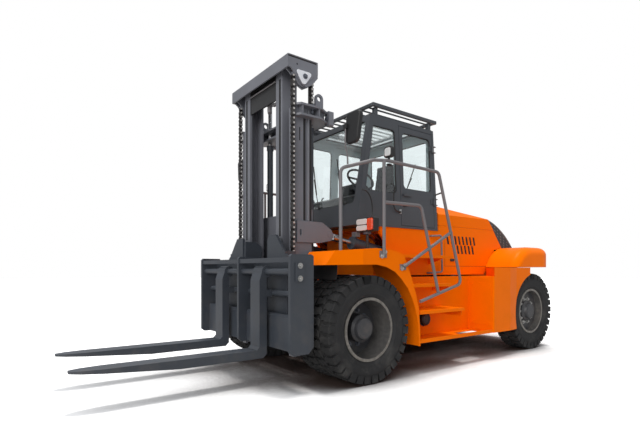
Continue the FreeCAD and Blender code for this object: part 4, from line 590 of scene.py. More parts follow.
def chain_run(name, x, y, low, high):
    """Link packs stacked from low to high, odd and even packs side by side in turn."""
    plate = link_plate("link", 0.0048)
    plate.data.materials.append(chain_steel)
    bright = placed(plate, "outer_link", Matrix.Scale(1.12, 4, (1, 0, 0)))
    paint(bright, worn_link)
    pieces = []
    count = max(1, round((high - low) / CHAIN_STEP))
    step = (high - low) / count
    rows = {0: (-0.0175, -0.0105, 0.0035, 0.0105), 1: (-0.0210, -0.0070, 0.0, 0.0140, 0.0210)}
    for n in range(count):
        for offset in rows[n % 2]:
            pieces.append(placed(bright if n % 2 else plate, "link",
                                 Matrix.Translation((x, y + offset, low + step * (n + 0.5)))))
    pin = round_bar("pin", 10, 0.0112, CHAIN_HALF * 2 + 0.008, rotation=(math.pi / 2, 0, 0))
    pin.data.materials.append(pin_steel)
    for n in range(count + 1):
        pieces.append(placed(pin, "pin", Matrix.Translation((x, y, low + step * n))))
    run = joined(name, pieces)
    for used in (plate, bright, pin):
        bpy.data.objects.remove(used)
    return run


front_low, front_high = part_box("chains_front")
rear_low, rear_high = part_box("chains_rear")
front_x = (front_low.x + front_high.x) / 2
rear_x = (rear_low.x + rear_high.x) / 2
fronts = [chain_run("front_run", front_x, sign * CHAIN_SIDE, front_low.z, front_high.z) for sign in (1, -1)]
front_chains = joined("front_chain_runs", fronts)
rears = [chain_run("rear_run", rear_x, sign * CHAIN_SIDE, rear_low.z, rear_high.z) for sign in (1, -1)]
rear_chains = joined("rear_chain_runs", rears)
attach(front_chains, "inner_mast")
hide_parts("chains_front")
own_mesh(front_chains)
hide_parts("chains_rear")
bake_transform(rear_chains)


# Bolts and nuts: zinc-plated hexagon heads on washers, wherever a plate, lamp
# or foot is bolted on.
zinc = finish("zinc_plate", (0.50, 0.50, 0.49, 1), (0.2, 0.18, 0.15, 1), 0.4, 0.12, 0.34,
              300.0, 0.05, 0.9)
dark_bolt = finish("painted_bolt", (0.09, 0.10, 0.125, 1), (0.15, 0.14, 0.13, 1), 0.4, 0.12, 0.4,
                   300.0, 0.05)


def hex_bolt(size):
    """A hexagon head with a chamfer on a washer, standing on +Z; size is across flats."""
    washer = round_bar("washer", 16, size * 0.95, size * 0.18, (0, 0, size * 0.09))
    head = round_bar("head", 6, size * 0.577, size * 0.62, (0, 0, size * 0.49))
    bpy.ops.object.mode_set(mode="EDIT")
    bpy.ops.mesh.select_all(action="DESELECT")
    bpy.ops.object.mode_set(mode="OBJECT")
    for face in head.data.polygons:
        face.select = face.normal.z > 0.9
    bpy.ops.object.mode_set(mode="EDIT")
    bpy.ops.mesh.select_mode(type="FACE")
    bpy.ops.mesh.inset(thickness=size * 0.09, depth=size * 0.06)
    bpy.ops.object.mode_set(mode="OBJECT")
    return joined("bolt", [washer, head])


def bolts(name, spots, size, body, material):
    """Bolt heads at (place, direction) spots, joined into one piece."""
    bolt = hex_bolt(size)
    pieces = []
    for number, (place, direction) in enumerate(spots):
        turn = Vector(direction).to_track_quat("Z", "Y").to_matrix().to_4x4()
        spin = Matrix.Rotation(0.37 * number, 4, "Z")
        pieces.append(placed(bolt, "head", Matrix.Translation(place) @ turn @ spin))
    bpy.data.objects.remove(bolt)
    whole = joined(name, pieces)
    paint(whole, material)
    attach(whole, body)
    return whole


def at(x, y, z):
    """A place given from the front axle, x forward."""
    return Vector((x + FRONT_AXLE.x, y, z))


def each_side(spots):
    return [(Vector((p.x, sign * p.y, p.z)), (d[0], sign * d[1], d[2]))
            for p, d in spots for sign in (1, -1)]


# carriage keeper plates hold the fork shafts with two bolts each
keeper_spots = [(at(0.800, 1.117, z), (0, 1, 0)) for z in (1.106, 1.228)]
bolts("keeper_bolts", each_side(keeper_spots), 0.030, "carriage", zinc)
# wheel studs: ten nuts round each hub
for side, sign in (("left", 1), ("right", -1)):
    rear_spots = []
    front_spots = []
    for n in range(10):
        turn = math.tau * n / 10
        c, s = math.cos(turn), math.sin(turn)
        rear_spots.append((REAR_AXLE + Vector((0.178 * c, sign * 1.034, 0.178 * s)), (0, sign, 0)))
        front_spots.append((FRONT_AXLE + Vector((0.190 * c, sign * 0.9565, 0.190 * s)), (0, sign, 0)))
    bolts("rear_wheel_nuts_" + side, rear_spots, 0.032, "rear_wheel_" + side, zinc)
    bolts("front_wheel_nuts_" + side, front_spots, 0.032, "front_wheels_" + side, dark_bolt)

# Lamps: clear ribbed lenses in black housings, an amber indicator beside each
# headlamp, and mirror glass in its housing.
lens = bpy.data.materials.new("lamp_lens")
lens.use_nodes = True
tree = lens.node_tree
shader = tree.nodes["Principled BSDF"]
shader.inputs["Base Color"].default_value = (0.75, 0.76, 0.76, 1)
shader.inputs["Roughness"].default_value = 0.12
shader.inputs["Coat Weight"].default_value = 0.8
spot = tree.nodes.new("ShaderNodeTexCoord")
ribs = tree.nodes.new("ShaderNodeTexWave")
ribs.inputs["Scale"].default_value = 26.0
ribs.bands_direction = "Y"
link(tree, spot.outputs["Object"], ribs.inputs["Vector"])
link(tree, remap(tree, ribs.outputs["Fac"], 0, 1, 0.08, 0.25), shader.inputs["Roughness"])
relief = tree.nodes.new("ShaderNodeBump")
relief.inputs["Strength"].default_value = 0.5
relief.inputs["Distance"].default_value = 0.003
link(tree, ribs.outputs["Fac"], relief.inputs["Height"])
link(tree, relief.outputs["Normal"], shader.inputs["Normal"])
amber = lens.copy()
amber.name = "indicator_lens"
amber.node_tree.nodes["Principled BSDF"].inputs["Base Color"].default_value = (0.85, 0.07, 0.005, 1)


def slab(name, low, high, bevel=0.0, segments=2, material=None):
    """A block between two corners with its edges rounded."""
    settle()
    low, high = Vector(low), Vector(high)
    bpy.ops.mesh.primitive_cube_add(size=1.0, location=(low + high) / 2)
    piece = bpy.context.object
    piece.name = name
    piece.scale = high - low
    bpy.ops.object.transform_apply(location=True, rotation=True, scale=True)
    if bevel:
        eased(piece, bevel, segments)
    if material:
        piece.data.materials.append(material)
    return piece


def both(piece, name):
    """The piece and its mirror image on the other side of the truck, as one."""
    twin = placed(piece, name, Matrix.Scale(-1, 4, (0, 1, 0)))
    return joined(name, [piece, twin])


def pipe(name, points, radius, material, resolution=2, smooth=True):
    """A round rod or fixed hose along places, with eased corners."""
    settle()
    curve = bpy.data.curves.new(name, "CURVE")
    curve.dimensions = "3D"
    run = curve.splines.new("BEZIER" if smooth else "POLY")
    spots = run.bezier_points if smooth else run.points
    spots.add(len(points) - 1)
    for spot, place in zip(spots, points):
        if smooth:
            spot.co = place
            spot.handle_left_type = spot.handle_right_type = "AUTO"
        else:
            spot.co = (*place, 1.0)
    run.resolution_u = 6
    curve.bevel_depth = radius
    curve.bevel_resolution = resolution
    curve.use_fill_caps = True
    piece = bpy.data.objects.new(name, curve)
    bpy.context.scene.collection.objects.link(piece)
    use(piece)
    bpy.ops.object.convert(target="MESH")
    piece = bpy.context.object
    piece.name = name
    piece.data.name = name
    bpy.ops.object.shade_smooth()
    paint(piece, material)
    return piece


def keep(piece, body):
    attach(piece, body)
    return piece


RAIL_SIDE = 1.262


def rounded_head(name, low, high, corner, edge, material):
    """A housing with its outline rounded in the Y-Z plane and its rims eased."""
    piece = slab(name, low, high)
    use(piece)
    bpy.ops.object.mode_set(mode="EDIT")
    bpy.ops.mesh.select_mode(type="EDGE")
    bpy.ops.mesh.select_all(action="DESELECT")
    bpy.ops.object.mode_set(mode="OBJECT")
    points = piece.data.vertices
    for line in piece.data.edges:
        a, b = (points[n].co for n in line.vertices)
        line.select = abs(a.x - b.x) > 0.001
    bpy.ops.object.mode_set(mode="EDIT")
    bpy.ops.mesh.bevel(offset=corner, segments=5)
    bpy.ops.object.mode_set(mode="OBJECT")
    eased(piece, edge, 3, True)
    piece.data.materials.append(material)
    return piece


# headlamps: black housing on a post, two clear lobes and an amber indicator
head = rounded_head("head", at(-0.300, 0.760, 1.618), at(-0.217, 1.050, 1.775), 0.018, 0.006, black_plastic)
post = pipe("post", [at(-0.260, 0.900, z) for z in (1.392, 1.520, 1.640)], 0.016, black_plastic,
            3, False)
head_bracket = slab("bracket", at(-0.292, 0.870, 1.590), at(-0.228, 0.930, 1.624), 0.004, 2, dark_bolt)
# work lamps: rounded square heads on a yoke above the handrail
work = rounded_head("work", at(-0.265, 1.203, 2.381), at(-0.217, 1.321, 2.499), 0.030, 0.007, black_plastic)
yoke = pipe("yoke", [at(-0.240, RAIL_SIDE, z) for z in (2.350, 2.372, 2.392)], 0.011, black_plastic,
            3, False)
clip = slab("clip", at(-0.262, RAIL_SIDE - 0.022, 2.296), at(-0.218, RAIL_SIDE + 0.022, 2.316),
            0.005, 2, black_plastic)
# mirrors: tall housings, narrower at the foot, clamped to a stalk in front
MIRROR_IN, MIRROR_FOOT, MIRROR_HEIGHT = 1.130, 2.465, 0.315
mirror = rounded_head("mirror", at(0.200, MIRROR_IN, MIRROR_FOOT), at(0.256, 1.350, 2.780),
                      0.055, 0.016, black_plastic)
for vertex in mirror.data.vertices:
    share = (vertex.co.z - MIRROR_FOOT) / MIRROR_HEIGHT
    vertex.co.y = MIRROR_IN + (vertex.co.y - MIRROR_IN) * (0.80 + 0.20 * share)
    vertex.co.x += 0.012 * (0.5 - share)
stalk = pipe("stalk", [at(0.235, 1.144, 2.268), at(0.240, 1.144, 2.36), at(0.266, 1.146, 2.46),
                       at(0.270, 1.150, 2.56), at(0.270, 1.150, 2.655)], 0.009, rail_grey, 3)
clamp = slab("clamp", at(0.240, 1.128, 2.618), at(0.284, 1.176, 2.668), 0.006, 2, black_plastic)
lamp_set = joined("lamp_set", [head, post, head_bracket, work, yoke, clip, mirror, stalk, clamp])
lamp_set = keep(both(lamp_set, "lamps_and_stalks"), "chassis")
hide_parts("lamps_and_mirrors")

lobes = [rounded_head("lens", at(-0.224, 0.774, low), at(-0.203, 0.948, high), 0.022, 0.005, lens)
         for low, high in ((1.632, 1.692), (1.699, 1.763))]
keep(both(joined("lobes", lobes), "headlamp_lenses"), "chassis")
side_lens = rounded_head("lens", at(-0.240, 0.954, 1.632), at(-0.199, 1.040, 1.763), 0.016, 0.006, amber)
keep(both(side_lens, "indicator_lenses"), "chassis")
work_lens = rounded_head("lens", at(-0.224, 1.219, 2.397), at(-0.210, 1.305, 2.483), 0.022, 0.005, lens)
keep(both(work_lens, "work_lamp_lenses"), "chassis")
silvered = finish("mirror_glass", (0.75, 0.78, 0.80, 1), (0.3, 0.3, 0.3, 1), 0.15, 0.02, 0.05,
                  50.0, 0.0, 1.0)
mirror_face = rounded_head("glass", at(0.199, 1.150, 2.490), at(0.204, 1.310, 2.755), 0.040, 0.001, silvered)
keep(both(mirror_face, "mirror_faces"), "chassis")

# Overhead guard: a welded frame of square tube on four feet over the roof,
# with ten flat bars running from front to rear, in the cab's grey.
guard_parts = []
for sign in (1, -1):
    guard_parts.append(slab("side_tube", at(-1.746, sign * 0.665 - 0.020, 3.180),
                            at(-0.553, sign * 0.665 + 0.020, 3.227), 0.010, 3, cab_grey))
    for x in (-0.643, -1.636):
        guard_parts.append(slab("foot", at(x - 0.025, sign * 0.6225 - 0.0275, 3.089),
                                at(x + 0.025, sign * 0.6225 + 0.0275, 3.190), 0.004, 1, cab_grey))
        guard_parts.append(slab("foot_plate", at(x - 0.045, sign * 0.6225 - 0.0260, 3.089),
                                at(x + 0.045, sign * 0.6225 + 0.0260, 3.099), 0.003, 1, cab_grey))
for x in (-0.593, -1.746):
    guard_parts.append(slab("cross_tube", at(x, -0.650, 3.182), at(x + 0.040, 0.650, 3.225),
                            0.009, 3, cab_grey))
for n in range(10):
    y = -0.555 + 0.1233 * n
    guard_parts.append(slab("bar", at(-1.720, y - 0.012, 3.192), at(-0.580, y + 0.012, 3.208),
                            0.004, 1, cab_grey))
guard = keep(joined("guard_frame", guard_parts), "chassis")
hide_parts("overhead_guard")

# Rubber seals of the cab windows: a black bead round the edge of every pane,
# taken off the pane's own outline so that it follows its corners.
seal_rubber = finish("seal_rubber", (0.012, 0.012, 0.013, 1), (0.07, 0.07, 0.07, 1), 0.15, 0.1, 0.6,
                     200.0, 0.1)
SEAL_RADIUS = 0.011


def pane_seal(node, name, radius, body):
    """A bead along the outer edge of each pane in one glass node."""
    settle()
    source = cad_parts[node]
    copy = source.copy()
    copy.data = source.data.copy()
    bpy.context.scene.collection.objects.link(copy)
    use(copy)
    bpy.ops.object.mode_set(mode="EDIT")
    bpy.ops.mesh.select_mode(type="FACE")
    bpy.ops.mesh.select_all(action="SELECT")
    bpy.ops.mesh.remove_doubles(threshold=0.0002)
    bpy.ops.mesh.dissolve_limited(angle_limit=math.radians(3))
    bpy.ops.mesh.select_all(action="DESELECT")
    bpy.ops.object.mode_set(mode="OBJECT")
    middle = Vector((FRONT_AXLE.x - 1.1, 0.0, 2.5))
    for face in copy.data.polygons:
        outwards = (face.center - middle).dot(face.normal) > 0
        face.select = face.area > 0.04 and outwards
    bpy.ops.object.mode_set(mode="EDIT")
    bpy.ops.mesh.region_to_loop()
    bpy.ops.mesh.select_all(action="INVERT")
    bpy.ops.mesh.delete(type="EDGE")
    bpy.ops.object.mode_set(mode="OBJECT")
    bpy.ops.object.convert(target="CURVE")
    bead = bpy.context.object
    bead.data.bevel_depth = radius
    bead.data.bevel_resolution = 2
    bpy.ops.object.convert(target="MESH")
    bead = bpy.context.object
    bead.name = name
    bead.data.name = name
    bpy.ops.object.shade_smooth()
    paint(bead, seal_rubber)
    for key in list(bead.keys()):
        if key.startswith("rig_"):
            del bead[key]
    return keep(bead, body)


pane_seal("cab_glass", "cab_window_seals", SEAL_RADIUS, "chassis")
pane_seal("door_glass_left", "door_seal_left", SEAL_RADIUS, "door_left")
pane_seal("door_glass_right", "door_seal_right", SEAL_RADIUS, "door_right")


# Bent rod and hose work on the cab: the black grab handle on the pillar and the
# lead down to the lamps; the stay behind the rear corner comes further down.
pillar_y = 0.735
grab = pipe("pillar_grab", [at(-0.850, 0.700, 2.262), at(-0.850, pillar_y, 2.250),
                            at(-0.857, pillar_y, 2.10), at(-0.870, pillar_y, 1.960),
                            at(-0.915, pillar_y, 1.925), at(-0.985, pillar_y, 1.917),
                            at(-0.990, 0.705, 1.914)], 0.009, black_plastic)
keep(both(grab, "pillar_grabs"), "chassis")
lead = pipe("lamp_lead", [at(-0.352, 0.712, 2.14), at(-0.37, 0.745, 2.125), at(-0.426, 0.752, 2.08),
                          at(-0.468, 0.758, 1.96), at(-0.45, 0.775, 1.84), at(-0.36, 0.84, 1.80),
                          at(-0.285, 0.90, 1.77)], 0.007, seal_rubber)
keep(both(lead, "lamp_leads"), "chassis")

# Door fittings: a lock with its button on each door, and the strike plate on
# the pillar behind it.
# Zinc and black enamel.
def mirrored(piece):
    """Moves a piece to the other side of the truck."""
    piece.data.transform(Matrix.Scale(-1, 4, (0, 1, 0)))
    piece.data.flip_normals()


for side, sign in (("left", 1), ("right", -1)):
    lock = slab("lock", at(-1.110, 0.700, 1.995), at(-1.065, 0.722, 2.050), 0.006, 2, black_plastic)
    plate = slab("strike", at(-1.0205, 0.706, 1.900), at(-0.985, 0.716, 1.955), 0.003, 2, zinc)
    knob = slab("button", at(-1.098, 0.720, 2.008), at(-1.078, 0.729, 2.030), 0.003, 2, zinc)
    whole = joined("door_lock_" + side, [lock, knob])
    body_strike = joined("door_strike_" + side, [plate])
    if sign < 0:
        mirrored(whole)
        mirrored(body_strike)
    keep(whole, "door_" + side)
    keep(body_strike, "chassis")

# Wipers: black arms and blades, one for each half of the windscreen and one
# behind, on their spindles at the window's foot.
def wiper(foot, tip, blade_low, blade_high, out):
    """Arm from foot to tip with a blade along its end, lifted off the glass."""
    lift = Vector(out) * 0.020
    arm = pipe("arm", [Vector(foot) + lift, Vector(foot).lerp(Vector(tip), 0.5) + lift * 1.25,
                       Vector(tip) + lift], 0.006, black_plastic)
    blade = pipe("blade", [Vector(blade_low) + lift * 0.45, Vector(blade_high) + lift * 0.45], 0.008,
                 seal_rubber, 1, False)
    settle()
    bpy.ops.mesh.primitive_cylinder_add(vertices=20, radius=0.022, depth=0.040, location=foot)
    boss = bpy.context.object
    turn = Vector(out).to_track_quat("Z", "Y").to_matrix().to_4x4()
    boss.data.transform(turn)
    bpy.ops.object.transform_apply(location=True, rotation=True, scale=True)
    boss.data.materials.append(black_plastic)
    eased(boss, 0.005, 2)
    return joined("wiper", [arm, blade, boss])


CAB_FOOT, CAB_HEIGHT = 1.720, 1.369
SCREEN_FOOT, SCREEN_RUN, PANE_SET = -0.270, 0.267, 0.012
lean = Vector((-SCREEN_RUN, 0, CAB_HEIGHT)).normalized()
front_out = Vector((lean.z, 0, -lean.x))


def on_front(y, z):
    """A place on the leaning front glass."""
    share = (z - CAB_FOOT) / CAB_HEIGHT
    return at(SCREEN_FOOT - SCREEN_RUN * share - PANE_SET, y, z)


front_wipers = [wiper(on_front(y, 2.00), on_front(y - 0.22, 2.42), on_front(y - 0.12, 2.20),
                      on_front(y - 0.30, 2.62), front_out) for y in (0.42, -0.10)]
keep(joined("front_wipers", front_wipers), "chassis")
rear_wiper = wiper(at(-1.728, 0.0, 2.175), at(-1.722, 0.24, 2.52), at(-1.724, 0.14, 2.34),
                   at(-1.718, 0.32, 2.70), Vector((-1, 0, 0)))
keep(rear_wiper, "chassis")

# Crosshead: zinc keeper plates over the ends of the sheave pins, each with a
# bolt in the middle, and a small grease hole near the front.
keeper_metal = finish("keeper_metal", (0.83, 0.85, 0.90, 1), (0.4, 0.38, 0.36, 1), 0.3, 0.05, 0.35,
                      200.0, 0.04, 0.15)
SHEAVE_X, SHEAVE_Z = 0.440, 3.272
HEAD_SIDE = 0.66850          # outer face of the crosshead's side plates
KEEPER_CORNERS = (0.012, -0.110), (0.128, 0.056), (-0.104, 0.056)
for side, sign in (("left", 1), ("right", -1)):
    settle()
    bpy.ops.mesh.primitive_circle_add(vertices=3, radius=0.088, fill_type="NGON",
                                      rotation=(math.pi / 2, 0, 0))
    plate = bpy.context.object
    plate.name = "sheave_keeper_" + side
    bpy.ops.object.transform_apply(location=True, rotation=True, scale=True)
    for vertex, (x, z) in zip(plate.data.vertices, KEEPER_CORNERS):
        vertex.co = (x, 0, z)
    use(plate)
    bpy.ops.object.mode_set(mode="EDIT")
    bpy.ops.mesh.select_all(action="SELECT")
    bpy.ops.mesh.bevel(affect="VERTICES", offset=0.052, segments=7)
    bpy.ops.mesh.select_all(action="SELECT")
    bpy.ops.mesh.extrude_region_move(TRANSFORM_OT_translate={"value": (0, 0.0105, 0)})
    face_outwards()
    eased(plate, 0.002, 1, True)
    plate.data.materials.append(keeper_metal)
    plate.data.transform(Matrix.Translation(at(SHEAVE_X, HEAD_SIDE, SHEAVE_Z)))
    if sign < 0:
        mirrored(plate)
    keep(plate, "inner_mast")
bolts("sheave_keeper_bolts", each_side([(at(SHEAVE_X, 0.679, SHEAVE_Z), (0, 1, 0))]), 0.030,
      "inner_mast", dark_bolt)
grease = slab("grease_hole", at(0.528, 0.6670, 3.376), at(0.546, 0.6692, 3.394), 0.004, 2, seal_rubber)
keep(both(grease, "grease_holes"), "inner_mast")
lips = [slab("lip", at(0.266, 0.664, 3.455), at(0.652, 0.6765, 3.4675), 0.003, 1, painted_lit_channel_grey),
        slab("lip", at(0.266, 0.664, 3.330), at(0.282, 0.6760, 3.455), 0.003, 1, painted_lit_channel_grey)]
top_lip = joined("lips", lips)
keep(both(top_lip, "crosshead_lips"), "inner_mast")
lip_gap = slab("gap", at(0.284, 0.660, 3.441), at(0.650, 0.6695, 3.4555), 0.001, 1, seal_rubber)
keep(both(lip_gap, "crosshead_seams"), "inner_mast")
under_bar = slab("under_bar", at(0.5785, -0.300, 3.300), at(0.5925, 0.300, 3.316), 0.003, 1, rail_grey)
keep(under_bar, "inner_mast")

# Mast plumbing: a steel pipe up the middle of the outer mast beside a black
# hose, held by clamps, and the curved hose guide under the crosshead.
pipe_steel = finish("pipe_steel", (0.34, 0.30, 0.26, 1), (0.15, 0.12, 0.1, 1), 0.3, 0.1, 0.35,
                    200.0, 0.05, 0.4)
supply = pipe("supply_pipe", [at(0.240, 0.150, 1.90), at(0.240, 0.150, 2.845)], 0.017, pipe_steel, 4, False)
keep(supply, "outer_mast")
hose = pipe("supply_hose", [at(0.246, 0.085, 1.89), at(0.246, 0.085, 2.30), at(0.246, 0.083, 2.84)],
            0.014, seal_rubber)
keep(hose, "outer_mast")
clamps = [slab("clamp", at(0.222, 0.055, z), at(0.270, 0.180, z + 0.035), 0.006, 2, dark_bolt)
          for z in (1.96, 2.52)]
keep(joined("pipe_clamps", clamps), "outer_mast")
guide_points = []
for n in range(9):
    turn = math.radians(200 - 17.5 * n)
    guide_points.append(at(0.520, 0.16 + 0.105 * math.cos(turn), 3.075 + 0.120 * math.sin(turn)))
guide = pipe("hose_guide", guide_points, 0.026, rail_grey, 3)
guide_arm = slab("guide_arm", at(0.505, 0.150, 3.080), at(0.545, 0.315, 3.108), 0.004, 1, rail_grey)
keep(joined("hose_guide", [guide, guide_arm]), "inner_mast")

# Painted shade on the mast channels: black strips standing for the dark grooves
# between their lit faces, a black slot for the lower roller's pin, and the pipe along the web.
track = slab("track", at(0.5845, 0.376, 1.560), at(0.5862, 0.414, 3.300), 0.0006, 1, seal_rubber)
keep(both(track, "inner_painted_grooves"), "inner_mast")
painted_web_grooves = [slab("track", at(x0, 0.5985, 1.730), at(x1, 0.6012, 2.955), 0.0008, 1, seal_rubber)
        for x0, x1 in ((0.381, 0.412), (0.301, 0.326))]
painted_web_grooves.append(slab("slot", at(0.452, 0.5985, 2.600), at(0.465, 0.6012, 2.745), 0.0008, 1, seal_rubber))
keep(both(joined("painted_web_grooves", painted_web_grooves), "outer_painted_grooves"), "outer_mast")
web_pipe = pipe("web_pipe", [at(0.352, 0.609, z) for z in (1.730, 2.300, 2.950)], 0.011, painted_lit_channel_grey,
                3, False)
keep(both(web_pipe, "web_pipes"), "outer_mast")

# Tilt cylinder plumbing: two red-brown hoses over each barrel into grey
# fittings, and the junction block above the barrel.
hose_red = finish("red_hose", (0.16, 0.022, 0.012, 1), (0.1, 0.06, 0.04, 1), 0.4, 0.15, 0.5, 200.0, 0.1)
feeds = []
for offset, lift in ((-0.02, 0.0), (0.035, 0.03)):
    y = 0.53 + offset
    feeds.append(pipe("feed", [at(-0.760, y, 1.545 + lift), at(-0.62, y, 1.625 + lift),
                               at(-0.50, y, 1.64 + lift), at(-0.40, y, 1.625)], 0.013, hose_red))
block = slab("junction", at(-0.44, 0.50, 1.585), at(-0.37, 0.58, 1.650), 0.006, 2, rail_grey)
feeds.append(block)
feed = joined("tilt_feed", feeds)
keep(both(feed, "tilt_feeds"), "chassis")

# Foot bolts of the handrails, and one bolt on each side of the outer mast's
# head.
rail_feet = [(at(x, 1.2540, z), (0, 1, 0))
             for x, z in ((-0.186, 1.378), (-0.144, 1.334), (-0.490, 1.236), (-0.446, 1.204))]
bolts("rail_foot_bolts", each_side(rail_feet), 0.026, "chassis", zinc)
bolts("head_bolts", each_side([(at(0.098, 0.600, 2.905), (-1, 0, 0))]), 0.030, "outer_mast", dark_bolt)

# Chain anchors on the outer mast head: a threaded rod with two nuts below
# each rear chain.
ANCHOR_X, ANCHOR_SIDE = 0.305, 0.620
anchors = [round_bar("rod", 18, 0.015, 0.10, at(ANCHOR_X, ANCHOR_SIDE, 2.965))]
for z in (2.992, 3.012):
    nut = round_bar("nut", 6, 0.027, 0.018, at(ANCHOR_X, ANCHOR_SIDE, z))
    eased(nut, 0.002)
    anchors.append(nut)
anchor = joined("chain_anchor", anchors)
anchor.data.materials.append(dark_bolt)
keep(both(anchor, "chain_anchors"), "outer_mast")

# Mud flaps: thick rubber sheets hung inside the front of each fender, bolted
# under its nose by a steel strip.
FLAP_TOP, FLAP_DROP = 1.372, 0.287
flap = slab("mud_flap", at(0.262, 0.560, 1.085), at(0.272, 1.020, FLAP_TOP), 0.004, 2, seal_rubber)
use(flap)
bpy.ops.object.mode_set(mode="EDIT")
bpy.ops.mesh.select_all(action="SELECT")
bpy.ops.mesh.subdivide(number_cuts=5)
bpy.ops.object.mode_set(mode="OBJECT")
for vertex in flap.data.vertices:
    share = (FLAP_TOP - vertex.co.z) / FLAP_DROP
    vertex.co.x += 0.018 * share * share + 0.003 * math.sin(22.0 * vertex.co.y) * share
strip = slab("strip", at(0.272, 0.575, 1.330), at(0.278, 1.005, 1.362), 0.003, 1, frame_grey)
keep(both(joined("mud_flap", [flap, strip]), "mud_flaps"), "chassis")

# Fuel filler: a black ribbed cap low on the upright face behind the steps,
# over its welded neck.
RIBS = 48
cap = round_bar("filler_cap", RIBS, 0.080, 0.046)
use(cap)
bpy.ops.object.mode_set(mode="EDIT")
bpy.ops.mesh.select_mode(type="FACE")
bpy.ops.mesh.select_all(action="DESELECT")
bpy.ops.object.mode_set(mode="OBJECT")
for face in cap.data.polygons:
    rib = round(math.atan2(face.center.y, face.center.x) / math.tau * RIBS)
    face.select = abs(face.normal.z) < 0.5 and rib % 2 == 0
bpy.ops.object.mode_set(mode="EDIT")
bpy.ops.mesh.inset(thickness=0.002, depth=-0.006, use_individual=True)
bpy.ops.mesh.select_all(action="DESELECT")
bpy.ops.object.mode_set(mode="OBJECT")
for face in cap.data.polygons:
    face.select = face.normal.z > 0.9
bpy.ops.object.mode_set(mode="EDIT")
bpy.ops.mesh.inset(thickness=0.016, depth=0.012)
bpy.ops.mesh.inset(thickness=0.024, depth=-0.008)
bpy.ops.object.mode_set(mode="OBJECT")
cap.data.transform(Matrix.Translation(at(-1.290, 0.862, 0.560)) @ Matrix.Rotation(-math.pi / 2, 4, "X"))
cap.data.materials.append(black_plastic)
keep(both(cap, "filler_caps"), "chassis")

# Rear box cover: a thin steel door on the front face of the box behind the
# steps, with four bolts, orange as the body.
cover = slab("box_cover", at(-2.2505, 0.868, 0.440), at(-2.2445, 1.190, 1.020), 0.003, 2, orange)
keep(both(cover, "box_covers"), "chassis")
cover_spots = [(at(-2.2445, y, z), (1, 0, 0)) for y in (0.895, 1.163) for z in (0.47, 0.99)]
bolts("box_cover_bolts", each_side(cover_spots), 0.014, "chassis", orange)

# Anti-slip treads: raised studs on the three steps, pressed up out of the
# plate in staggered rows.
settle()
bpy.ops.mesh.primitive_cone_add(vertices=8, radius1=0.013, radius2=0.008, depth=0.005,
                                location=(0, 0, 0.0025), end_fill_type="TRIFAN")
stud = bpy.context.object
bpy.ops.object.transform_apply(location=True, rotation=True, scale=True)
STEPS = ((-0.83, -1.20, 0.875, 1.16, 0.712), (-0.77, -1.14, 0.875, 1.09, 1.022),
         (-0.56, -1.52, 0.74, 1.00, 1.372))          # front, rear, inner and outer edge, height
ROW_PITCH, STUD_PITCH = 0.055, 0.07
studs = []
for x_front, x_rear, y_in, y_out, z in STEPS:
    for row in range(int((y_out - y_in) / ROW_PITCH)):
        for n in range(int((x_front - x_rear) / STUD_PITCH)):
            x = x_front - STUD_PITCH * (n + 0.5 * (row % 2)) - 0.02
            studs.append(placed(stud, "stud", Matrix.Translation(at(x, y_in + ROW_PITCH * (row + 0.5), z))))
bpy.data.objects.remove(stud)
tread = joined("tread_studs", studs)
paint(tread, orange)
keep(both(tread, "tread_studs"), "chassis")

# Engine side panels: a black push latch on each, and the joint round the
# service door.
latch = slab("latch", at(-2.095, 0.700, 1.308), at(-2.015, 0.722, 1.344), 0.008, 3, black_plastic)
keep(both(latch, "panel_latches"), "chassis")
seams = [slab("seam", at(-2.90, 0.6995, 1.2390), at(-1.90, 0.7008, 1.2425), 0.0, 1, seal_rubber),
         slab("seam", at(-1.9035, 0.6995, 1.2425), at(-1.90, 0.7008, 1.66), 0.0, 1, seal_rubber)]
seam = joined("panel_seam", seams)
keep(both(seam, "panel_seams"), "chassis")

# Radiator grille: cast fins across each side of the rear hood, black, with their
# edges painted lighter grey as painted highlight, fanned along its curve.
grille_black = finish("grille_black", (0.030, 0.031, 0.034, 1), (0.2, 0.2, 0.2, 1), 0.6, 0.35, 0.38,
                      60.0, 0.2)
dress(grille_black, "rear_grille")
painted_highlight_edge = finish("painted_highlight_edge", (0.16, 0.165, 0.175, 1), (0.3, 0.3, 0.3, 1), 0.5, 0.3, 0.4, 80.0, 0.2)


def grille_rim(share):
    """A place on the outer curve, from the head to the foot."""
    a, b, c = (Vector(p) for p in ((-2.945, 1.958), (-3.2725, 1.9085), (-3.670, 1.505)))
    return a * (1 - share) ** 2 + b * 2 * share * (1 - share) + c * share ** 2


cells = []
for row in range(13):
    share = 0.20 + 0.062 * row
    rim = grille_rim(share)
    slope = grille_rim(share + 0.01) - rim
    turn = math.atan2(slope.y, -slope.x)
    inward = Vector((-slope.y, slope.x)).normalized()
    if inward.x < 0:
        inward = -inward
    lead = Vector((-2.975, 1.925)).lerp(Vector((-3.340, 1.515)), share)
    width = (rim - lead).length
    count = max(1, int((width - 0.035) / 0.046))
    for n in range(count):
        if (row + n) % 2:
            continue
        spot = rim.lerp(lead, (0.030 + 0.046 * (n + 0.5)) / width)
        cell = slab("cell", (-0.019, 0.0, -0.008), (0.019, 0.006, 0.008), 0.003, 1, painted_highlight_edge)
        cell.data.transform(Matrix.Rotation(turn, 4, "Y"))
        cell.data.transform(Matrix.Translation(at(spot.x, 0.6885, spot.y)))
        cells.append(cell)
rim_spots = [grille_rim(0.02 + 0.115 * n) for n in range(9)]
edging = pipe("edging", [at(p.x, 0.684, p.y - 0.014) for p in rim_spots], 0.010, painted_highlight_edge, 3)
keep(both(joined("grille_cells", cells + [edging]), "grille_cells"), "hood")

